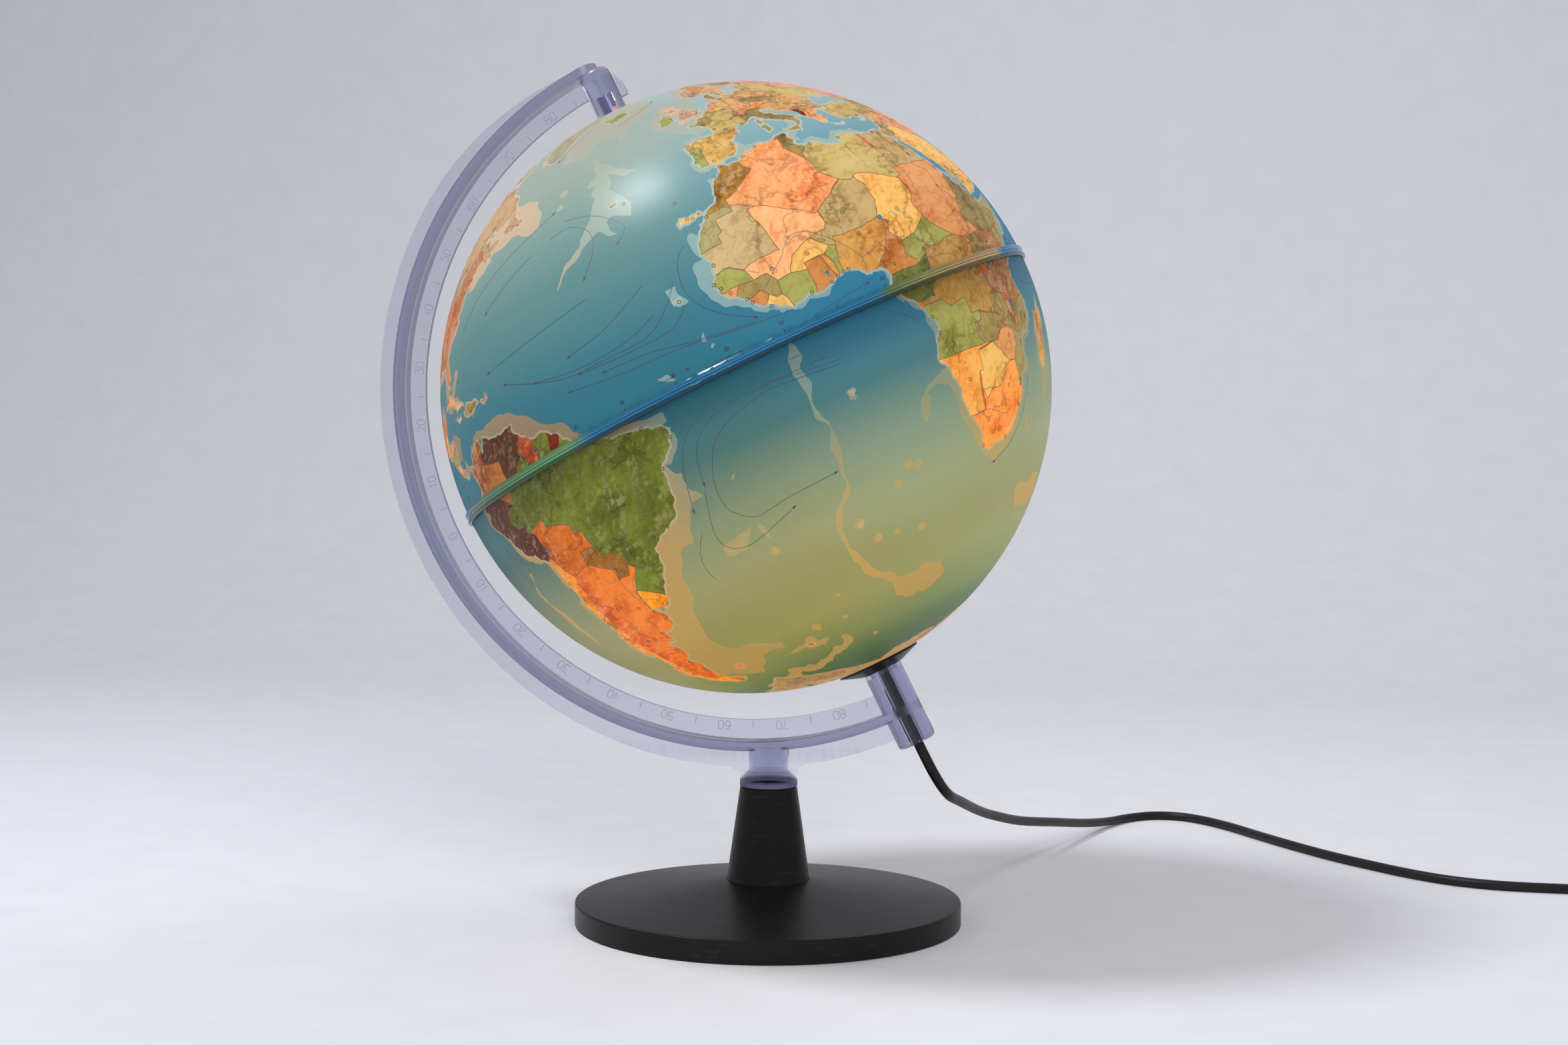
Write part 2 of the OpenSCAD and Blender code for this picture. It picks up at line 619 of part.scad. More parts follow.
module switch_base() color([0.04, 0.04, 0.04]) at_switch() difference() {
    union() {
        switch_half(0, tail_z, switch_wall, tail_z + 1);
        at_switch_screws() cylinder(r = post_r, h = tail_z, $fn = 48);
    }
    at_switch_screws() {
        translate([0, 0, -1]) cylinder(r = thread_r + slip, h = tail_z + 2, $fn = 48);
        translate([0, 0, -1]) cylinder(r = head_r + slip / 2, h = 1 + switch_wall, $fn = 48);
    }
}

module switch_cover() color([0.04, 0.04, 0.04]) at_switch() difference() {
    union() {
        switch_half(tail_z, switch_h, tail_z - 1, switch_h - switch_wall);
        at_switch_screws() translate([0, 0, tail_z])
            cylinder(r = post_r, h = switch_h - tail_z - switch_wall / 2, $fn = 48);
        // cheeks that carry the rocker's pin
        for (side = [-1, 1]) translate([0, side * (rocker_w / 2 + cheek_gap + cheek_t / 2), 0])
            translate([-cheek_half, -cheek_t / 2, pivot_z - cheek_half])
                cube([2 * cheek_half, cheek_t, switch_h - switch_wall / 2 - pivot_z + cheek_half]);
    }
    // window for the rocker, bearings for its pin, pilot holes for the screws
    translate([0, 0, switch_h]) cube([rocker_len + 1.2, rocker_w + 2 * cheek_gap, 3 * switch_wall], center = true);
    translate([0, switch_w / 2 - switch_wall - 1, pivot_z]) rotate([90, 0, 0])
        cylinder(r = rocker_pin_r + run_gap, h = switch_w - 2 * switch_wall - 2, $fn = 48);
    at_switch_screws() translate([0, 0, tail_z - 1]) cylinder(r = thread_r, h = bite + 2, $fn = 48);
}

// tilted towards "on"; its ends are round about the pin and its top is a shallow V
module switch_rocker() color([0.1, 0.1, 0.1]) at_switch() translate([0, 0, pivot_z]) rotate([0, rocker_angle, 0]) {
    top = switch_h - pivot_z;
    under = rocker_pin_r + 1;
    upright(rocker_w) intersection() {
        circle(rocker_len / 2, $fn = 96);
        polygon([[-rocker_len, -under], [rocker_len, -under], [rocker_len, top + 2 * rocker_rise], [0, top - 0.4],
                 [-rocker_len, top + 2 * rocker_rise]]);
    }
    translate([0, rocker_w / 2 + cheek_gap + cheek_t, 0]) rotate([90, 0, 0])
        cylinder(r = rocker_pin_r, h = rocker_w + 2 * cheek_gap + 2 * cheek_t, $fn = 48);
}

// a terminal block and a contact strip on each side of the rocker
module switch_contacts() color([0.8, 0.65, 0.3]) at_switch() for (side = [-1, 1])
    translate([side * terminal_x - terminal.x / 2, 0, switch_wall]) {
        block_y = -lead_r - terminal.y - 0.8;
        difference() {
            translate([0, block_y, 0]) cube(terminal);
            // hole for the wire's clamping screw
            translate([terminal.x / 2, block_y + terminal.y / 2, terminal.z - 3])
                cylinder(r = thread_r + 0.3, h = 6, $fn = 32);
        }
        translate([0, lead_r + 1, 0]) cube([terminal.x, strip_t, terminal.z + 1.6]);
        translate([0, -lead_r - 1.4, 0]) cube([terminal.x, 2 * lead_r + 3, strip_t]);
    }

module switch_screws() color([0.7, 0.7, 0.72]) at_switch() at_switch_screws() {
    translate([0, 0, switch_wall - head_t]) cylinder(r = head_r, h = head_t, $fn = 48);
    translate([0, 0, switch_wall]) cylinder(r = thread_r, h = tail_z - switch_wall + bite, $fn = 48);
}

// ---------- plug ----------
// local +Z points to the pins, +X across the plug, Y through its thickness
module at_plug() {
    translate([tail_x, plug_y, plug_h / 2]) rotate([90, 0, 0]) children();
}
module plug_body() color([0.03, 0.03, 0.03]) at_plug() {
    corner = 2.5;
    waist = plug_w * 0.27;
    // strain relief with its grooves
    rotate_extrude($fn = 48) difference() {
        polygon([[0, 0], [lead_r + 0.9, 0], [lead_r + 2.4, plug_boot_len + 1], [0, plug_boot_len + 1]]);
        for (i = [1:4]) translate([lead_r + 0.6, i * plug_boot_len / 5]) square([4, 1.2]);
    }
    // body: narrow at the lead, wide at its face
    translate([0, 0, plug_boot_len]) upright(plug_h) {
        polygon([[-waist + corner, 0], [waist - corner, 0], [waist, corner], [plug_w / 2, plug_len - 12],
                 [plug_w / 2, plug_len - corner], [plug_w / 2 - corner, plug_len], [corner - plug_w / 2, plug_len],
                 [-plug_w / 2, plug_len - corner], [-plug_w / 2, plug_len - 12], [-waist, corner]]);
        for (side = [-1, 1]) {
            translate([side * (plug_w / 2 - corner), plug_len - corner]) circle(corner, $fn = 32);
            translate([side * (waist - corner), corner]) circle(corner, $fn = 32);
        }
    }
}
module plug_pins() color([0.8, 0.8, 0.78]) at_plug() for (side = [-1, 1])
    translate([side * plug_pitch / 2, 0, plug_boot_len + plug_len]) {
        cylinder(r = plug_pin_r, h = plug_pin_len - plug_pin_r, $fn = 48);
        translate([0, 0, plug_pin_len - plug_pin_r]) sphere(plug_pin_r, $fn = 48);
    }

base_shell();
neck_cone();
ballast_plate();
base_pad();
ballast_screws();
stem_bolt();
meridian_arm();
lamp_carrier();
lamp_holder();
holder_insert();
bulb_cap();
bulb_glass();
inner_lead();
north_hemisphere();
south_hemisphere();
equator_ring();
south_dish();
north_pin();
north_clip();
power_lead();
lead_coil();
lead_tail();
switch_base();
switch_cover();
switch_rocker();
switch_contacts();
switch_screws();
plug_body();
plug_pins();
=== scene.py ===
import math

import bpy
import numpy as np
from mathutils import Matrix, Vector
from mathutils.geometry import delaunay_2d_cdt
from mathutils.kdtree import KDTree


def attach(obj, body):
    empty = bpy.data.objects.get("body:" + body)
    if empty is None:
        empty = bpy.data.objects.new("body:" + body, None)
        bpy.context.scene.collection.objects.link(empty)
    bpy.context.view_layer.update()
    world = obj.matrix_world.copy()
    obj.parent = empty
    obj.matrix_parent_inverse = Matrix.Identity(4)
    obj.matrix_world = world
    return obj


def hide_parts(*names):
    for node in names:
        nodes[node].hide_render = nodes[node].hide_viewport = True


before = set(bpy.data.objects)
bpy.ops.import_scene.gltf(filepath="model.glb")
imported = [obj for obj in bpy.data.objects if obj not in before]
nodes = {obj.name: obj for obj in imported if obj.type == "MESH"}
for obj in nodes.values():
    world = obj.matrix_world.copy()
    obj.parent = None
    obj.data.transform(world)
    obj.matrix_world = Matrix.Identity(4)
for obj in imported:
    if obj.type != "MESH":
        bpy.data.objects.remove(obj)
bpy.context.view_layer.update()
scene = bpy.context.scene

# ---------- sizes shared with the frame, in metres ----------
GLOBE_R = 0.150
SHELL = 0.0016
GLOBE_MIDDLE = Vector((-0.012, 0, 0.265))
TILT = math.radians(26.5)
NORTH = Vector((-math.sin(TILT), 0, math.cos(TILT)))
WEST_SIDE = Vector((-math.cos(TILT), 0, -math.sin(TILT)))
PIN_HOLE_R = 0.0031
SOUTH_HOLE_R = 0.0165
LEAD_D = 0.0052
LEAD_EXIT = (0.07434, 0, 0.09183)
# half the thickness of the arm's web, which carries the degree scale
WEB_HALF = 0.0015
MM = 0.001


# ---------- shader tools ----------
class Value:
    """A shader socket. Arithmetic on it adds Math nodes."""

    def __init__(self, shader, socket):
        self.shader = shader
        self.socket = socket

    def math(self, operation, *values):
        """A Math node fed with the values given."""
        return self.shader.add("ShaderNodeMath", {"operation": operation}, *values)

    def __add__(self, other):
        return self.math("ADD", self, other)

    __radd__ = __add__

    def __sub__(self, other):
        return self.math("SUBTRACT", self, other)

    def __rsub__(self, other):
        return self.math("SUBTRACT", other, self)

    def __mul__(self, other):
        return self.math("MULTIPLY", self, other)

    __rmul__ = __mul__

    def __truediv__(self, other):
        return self.math("DIVIDE", self, other)

    def __pow__(self, other):
        return self.math("POWER", self, other)

    def step(self, low, high):
        """0 at low, 1 at high, smooth between."""
        settings = {"interpolation_type": "SMOOTHSTEP"}
        return self.shader.add("ShaderNodeMapRange", settings, self, low, high, 0, 1)

    def band(self, low, full, fading, high):
        """1 from full to fading, 0 below low and above high."""
        return self.step(low, full) * (1 - self.step(fading, high))

    def ramp(self, *stops):
        """A colour by this value. Each stop is a place from 0 to 1 and its colour."""
        return self.shader.add("ShaderNodeValToRGB", {"stops": stops}, self)


class Shader:
    """A material with one Principled shader."""

    def __init__(self, name):
        self.material = bpy.data.materials.new(name)
        self.material.use_nodes = True
        self.tree = self.material.node_tree
        self.tree.nodes.clear()
        self.output = self.tree.nodes.new("ShaderNodeOutputMaterial")
        self.gloss = self.tree.nodes.new("ShaderNodeBsdfPrincipled")
        self.tree.links.new(self.gloss.outputs[0], self.output.inputs[0])

    def put(self, socket, value):
        """Feeds an input from another node, or sets it."""
        if isinstance(value, Value):
            self.tree.links.new(value.socket, socket)
        elif value is not None:
            socket.default_value = value

    def add(self, kind, settings, *values, out=0, **named):
        """A node with its settings and inputs, in order or by name. out is the output wanted."""
        node = self.tree.nodes.new(kind)
        for key, setting in settings.items():
            if key == "stops":
                self.fill(node.color_ramp, setting)
            else:
                setattr(node, key, setting)
        for socket, value in zip(node.inputs, values):
            self.put(socket, value)
        for name, value in named.items():
            self.put(node.inputs[name.replace("_", " ")], value)
        return Value(self, node.outputs[out])

    def fill(self, ramp, stops):
        while len(ramp.elements) > 1:
            ramp.elements.remove(ramp.elements[1])
        ramp.elements[0].position = stops[0][0]
        ramp.elements[0].color = (*stops[0][1], 1)
        for place, colour in stops[1:]:
            ramp.elements.new(place).color = (*colour, 1)

    def mix(self, factor, a, b, blend="MIX"):
        """Two colours blended. The node's sockets for colour are inputs 6 and 7 and output 2."""
        node = self.tree.nodes.new("ShaderNodeMix")
        node.data_type = "RGBA"
        node.blend_type = blend
        self.put(node.inputs[0], factor)
        self.put(node.inputs[6], a if isinstance(a, Value) else (*a, 1))
        self.put(node.inputs[7], b if isinstance(b, Value) else (*b, 1))
        return Value(self, node.outputs[2])

    def scale(self, colour, factor):
        """A colour made stronger or weaker."""
        settings = {"operation": "SCALE"}
        return self.add("ShaderNodeVectorMath", settings, Vector=colour, Scale=factor)

    def place(self):
        """Where a point of the surface lies, in metres."""
        return self.add("ShaderNodeTexCoord", {}, out="Object")

    def painted(self, name, out="Fac"):
        """What a mesh carries under a name: a number, or a colour with out="Color"."""
        return self.add("ShaderNodeAttribute", {"attribute_name": name}, out=out)

    def along(self, direction, start):
        """Distance from start along a direction."""
        settings = {"operation": "SUBTRACT"}
        offset = self.add("ShaderNodeVectorMath", settings, self.place(), tuple(start))
        settings = {"operation": "DOT_PRODUCT"}
        return self.add("ShaderNodeVectorMath", settings, offset, tuple(direction), out="Value")

    def noise(self, scale, detail=3, rough=0.55, vector=None):
        return self.add("ShaderNodeTexNoise", {}, Vector=vector or self.place(), Scale=scale, Detail=detail,
                        Roughness=rough)

    def stretched(self, x, y, z):
        """Places for a noise that is finer or coarser along x, y and z."""
        return self.add("ShaderNodeVectorMath", {"operation": "MULTIPLY"}, self.place(), (x, y, z))

    def shifted(self, by):
        """Places moved a little."""
        return self.add("ShaderNodeVectorMath", {"operation": "ADD"}, self.place(), tuple(by))

    def grazing(self):
        """0 where a surface is seen straight on, 1 at its outline."""
        return self.add("ShaderNodeLayerWeight", {}, 0.5, out="Facing")

    def bump(self, height, strength, distance):
        return self.add("ShaderNodeBump", {}, Strength=strength, Distance=distance, Height=height)

    def set(self, **named):
        """Fills the Principled shader's inputs and returns the finished material."""
        for name, value in named.items():
            socket = self.gloss.inputs[name.replace("_", " ")]
            if isinstance(value, tuple) and len(value) == 3:
                value = (*value, 1)
            self.put(socket, value)
        return self.material


def colour(code):
    """Scene colour for a six-figure colour code."""
    parts = [int(code[i:i + 2], 16) / 255 for i in (0, 2, 4)]
    return tuple(((part + 0.055) / 1.055) ** 2.4 for part in parts)


def grey(level):
    return (level, level, level)


def finish_nodes(material, *names):
    """Gives frame pieces their material."""
    for name in names:
        slots = nodes[name].data.materials
        slots.clear()
        slots.append(material)


def mesh_object(name, points, faces, body, material):
    """A new piece that rides on a body."""
    mesh = bpy.data.meshes.new(name)
    mesh.from_pydata([tuple(p) for p in points], [], [tuple(f) for f in faces])
    mesh.materials.append(material)
    piece = bpy.data.objects.new(name, mesh)
    scene.collection.objects.link(piece)
    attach(piece, body)
    return piece


# ---------- camera ----------
CAMERA_PLACE = (0.18151, -1.15016, 0.25149)
CAMERA_AHEAD = (-0.1498, 0.9877, -0.0448)
CAMERA_RIGHT = (0.9886, 0.1502, 0.0052)


def aim_camera():
    camera = bpy.data.cameras.new("camera")
    camera.lens = 54.05
    camera.sensor_width = 36
    camera.clip_end = 20
    ahead = Vector(CAMERA_AHEAD).normalized()
    right = Vector(CAMERA_RIGHT)
    right = (right - ahead * right.dot(ahead)).normalized()
    up = right.cross(ahead)
    holder = bpy.data.objects.new("camera", camera)
    turn = Matrix((right, up, -ahead)).transposed().to_4x4()
    holder.matrix_world = Matrix.Translation(CAMERA_PLACE) @ turn
    scene.collection.objects.link(holder)
    scene.camera = holder


aim_camera()


# ---------- lead ----------
ON_FLOOR = LEAD_D / 2
ON_COIL = LEAD_D * 1.5
SWITCH_EXIT_Z = 0.00685
COIL_MIDDLE = (0.455, 0.108)
COIL_INNER_R = 0.0338
COIL_TURNS = 5.25
COIL_KNOTS = 84
# the lead runs on from the coil's top to the switch in a straight line
TAIL_X = 0.4888

from_tube_to_floor = [
    LEAD_EXIT, (0.07746, 0, 0.08557), (0.0818, 0.0018, 0.0768), (0.0856, 0.0069, 0.0693),
    (0.0884, 0.0146, 0.064), (0.0903, 0.0245, 0.0606), (0.0918, 0.0365, 0.0576), (0.0932, 0.051, 0.054),
    (0.095, 0.070, 0.0493), (0.098, 0.095, 0.043), (0.103, 0.124, 0.036), (0.116, 0.172, 0.025),
    (0.134, 0.226, 0.0155), (0.150, 0.270, 0.008), (0.163, 0.302, 0.0038),
]
# x and y where it lies on the floor
lying = [
    (0.176, 0.325), (0.191, 0.3365), (0.208, 0.336), (0.223, 0.324), (0.238, 0.304), (0.254, 0.276),
    (0.272, 0.246), (0.292, 0.216), (0.312, 0.191), (0.331, 0.170), (0.350, 0.1546), (0.370, 0.146),
    (0.392, 0.1426), (0.424, 0.1418),
]
# y and z from the coil to the switch
to_switch = [
    (0.080, ON_COIL), (0.050, ON_COIL), (0.020, ON_COIL), (0.002, ON_COIL), (-0.010, SWITCH_EXIT_Z),
    (-0.020, SWITCH_EXIT_Z),
]


def coil_points():
    """Three turns inward on the floor, then back out on top of them."""
    # the turns between which the radius changes, and by how much
    radius_steps = [
        (0.68, 0.98, -LEAD_D), (1.68, 1.98, -LEAD_D), (3.40, 3.70, LEAD_D), (4.40, 4.70, LEAD_D),
    ]
    rise_from = 2.55
    rise_to = 2.85

    def gone(t, start, end):
        part = min(1, max(0, (t - start) / (end - start)))
        return part * part * (3 - 2 * part)

    points = []
    for i in range(COIL_KNOTS + 1):
        t = COIL_TURNS * i / COIL_KNOTS
        radius = COIL_INNER_R + sum(by * gone(t, start, end) for start, end, by in radius_steps)
        angle = math.pi / 2 - 2 * math.pi * t
        x = COIL_MIDDLE[0] + radius * math.cos(angle)
        y = COIL_MIDDLE[1] + radius * math.sin(angle)
        points.append((x, y, ON_FLOOR + LEAD_D * gone(t, rise_from, rise_to)))
    return points


def smooth_curve(name, points, diameter, material):
    """A tube along one curve through all the points."""
    data = bpy.data.curves.new(name, "CURVE")
    data.dimensions = "3D"
    data.resolution_u = 4
    data.bevel_depth = diameter / 2
    data.bevel_resolution = 4
    data.use_fill_caps = True
    data.materials.append(material)
    spline = data.splines.new("BEZIER")
    spline.bezier_points.add(len(points) - 1)
    spots = [Vector(p) for p in points]
    for i, knot in enumerate(spline.bezier_points):
        handle = (spots[min(i + 1, len(spots) - 1)] - spots[max(i - 1, 0)]) / 6
        knot.co = spots[i]
        knot.handle_left = spots[i] - handle
        knot.handle_right = spots[i] + handle
    piece = bpy.data.objects.new(name, data)
    scene.collection.objects.link(piece)
    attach(piece, "stand")
    return piece


def cord_rubber():
    look = Shader("cord_rubber")
    grain = look.noise(900, 2)
    return look.set(
        Base_Color=look.mix(grain, (0.006, 0.006, 0.006), (0.014, 0.014, 0.015)),
        Roughness=0.36 + 0.15 * look.noise(60, 2),
        Specular_IOR_Level=0.28,
        Normal=look.bump(grain, 0.15, 0.0002),
    )


def spot_between(knots, i, t):
    """A place on the smooth curve through the knots, t of the way from knot i to the next."""
    a = knots[max(i - 1, 0)]
    b = knots[i]
    c = knots[i + 1]
    d = knots[min(i + 2, len(knots) - 1)]
    return 0.5 * (2 * b + (c - a) * t + (2 * a - 5 * b + 4 * c - d) * t * t
                  + (3 * b - a - 3 * c + d) * t ** 3)


def curve_length(points, per_span=12):
    """Length of the smooth curve through the points."""
    knots = [Vector(p) for p in points]
    spots = [spot_between(knots, i, k / per_span) for i in range(len(knots) - 1) for k in range(per_span)]
    spots.append(knots[-1])
    return sum((after - before).length for before, after in zip(spots, spots[1:]))


lead_path = from_tube_to_floor + [(x, y, ON_FLOOR) for x, y in lying] + coil_points()
lead_path += [(TAIL_X, y, z) for y, z in to_switch]
lead = smooth_curve("lead", lead_path, LEAD_D, cord_rubber())
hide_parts("power_lead", "lead_coil", "lead_tail")
round(curve_length(lead_path), 3)


# ---------- floor and lights ----------
def lay_floor():
    """A pale sheet that lies on the floor and sweeps up behind; from the back it can be seen through."""
    look = Shader("backdrop_paint")
    grain = look.noise(30, 4)
    from_behind = look.add("ShaderNodeNewGeometry", {}, out="Backfacing")
    look.set(
        Base_Color=look.mix(grain, colour("cdccd1"), colour("d6d5da")),
        Roughness=0.8,
        Specular_IOR_Level=0.1,
        Alpha=1 - from_behind,
    )
    half_width = 9
    front = -9
    flat_to = 1.0
    bend = 0.9
    top = 4.5
    steps = 12
    # y and z of the sheet's edge, from the front to the top
    profile = [(front, 0), (flat_to, 0)]
    for k in range(1, steps + 1):
        angle = math.pi / 2 * k / steps
        profile.append((flat_to + bend * math.sin(angle), bend * (1 - math.cos(angle))))
    profile.append((flat_to + bend, top))
    points = [(x, y, z) for y, z in profile for x in (-half_width, half_width)]
    faces = [(2 * k, 2 * k + 1, 2 * k + 3, 2 * k + 2) for k in range(len(profile) - 1)]
    mesh = bpy.data.meshes.new("backdrop")
    mesh.from_pydata(points, [], faces)
    mesh.materials.append(look.material)
    mesh.shade_smooth()
    sheet = bpy.data.objects.new("backdrop", mesh)
    scene.collection.objects.link(sheet)


def light_world():
    world = bpy.data.worlds.new("room")
    world.use_nodes = True
    scene.world = world
    back = world.node_tree.nodes["Background"]
    back.inputs["Color"].default_value = (0.93, 0.95, 1, 1)
    back.inputs["Strength"].default_value = 0.45


def hang_lamp(name, place, aim, size, power, tint=(1, 1, 1), glossy=False):
    """A round lamp that faces a place. glossy says whether it shows in shiny surfaces."""
    data = bpy.data.lights.new(name, "AREA")
    data.shape = "DISK"
    data.size = size
    data.energy = power
    data.color = tint
    lamp = bpy.data.objects.new(name, data)
    lamp.visible_glossy = glossy
    away = Vector(place) - Vector(aim)
    lamp.matrix_world = Matrix.Translation(place) @ away.to_track_quat("Z", "Y").to_matrix().to_4x4()
    scene.collection.objects.link(lamp)


scene.view_settings.view_transform = "Standard"
lay_floor()
light_world()
hang_lamp("window", (-0.741, -0.28, 1.668), (-0.04, -0.12, 0.35), 0.40, 20, (0.93, 0.97, 1), True)
hang_lamp("soft_front", (0.9, -2.2, 1.5), (0, 0, 0.2), 1.6, 33)
hang_lamp("soft_left", (-2.0, -0.9, 1.0), (0, 0, 0.2), 1.2, 2)
hang_lamp("soft_back", (0.8, 0.9, 1.8), (0, 0, 0.25), 1.0, 8)

# ---------- printed map ----------
# how each half of the map is drawn over its mould: turn about the axis, two stretches
# towards the equator, a stretch round the axis and a lean, all in degrees; the last two
# count from the middle longitude. The numbers come from a fit by a separate script.
MAP_FIT = {"north": (-61.8, 1.2, 1.0, 4.3, 1.4), "south": (-60.9, 0.0, 3.5, 4.1, 0.2)}
MIDDLE_LON = -20

# colour codes of the inks
INKS = {
    "olive": "a48d52", "bronze": "b2863c", "pink": "f4a96f", "peach": "f8b67c", "orange": "ea7c2d",
    "flame": "fba24e", "yellow": "f0bc66", "green": "a3a154", "leaf": "9a9e52", "forest": "767f2c",
    "deep_green": "6e7434", "brown": "6e3212", "dun": "663a1c", "tan": "c8ae6c", "sage": "aa9c68",
    "straw": "c2a26a", "wheat": "dcb264", "biscuit": "dbac70", "red": "7c2a10", "cream": "c6aa78",
    "faded": "c8a47c", "ice": "a8865c", "lichen": "aca48a", "amber": "de985c", "caramel": "cb8646",
    "mustard": "c0742c", "ochre": "bb8f4a", "sienna": "bc8854", "saffron": "d59c4e", "rose": "dfa080",
    "blush": "dab090", "brick": "c05a2c", "khaki": "a06a26", "gold": "f8a024", "burnt": "d7711f",
    "apricot": "f7b058", "dusty": "cc8a5c",
}

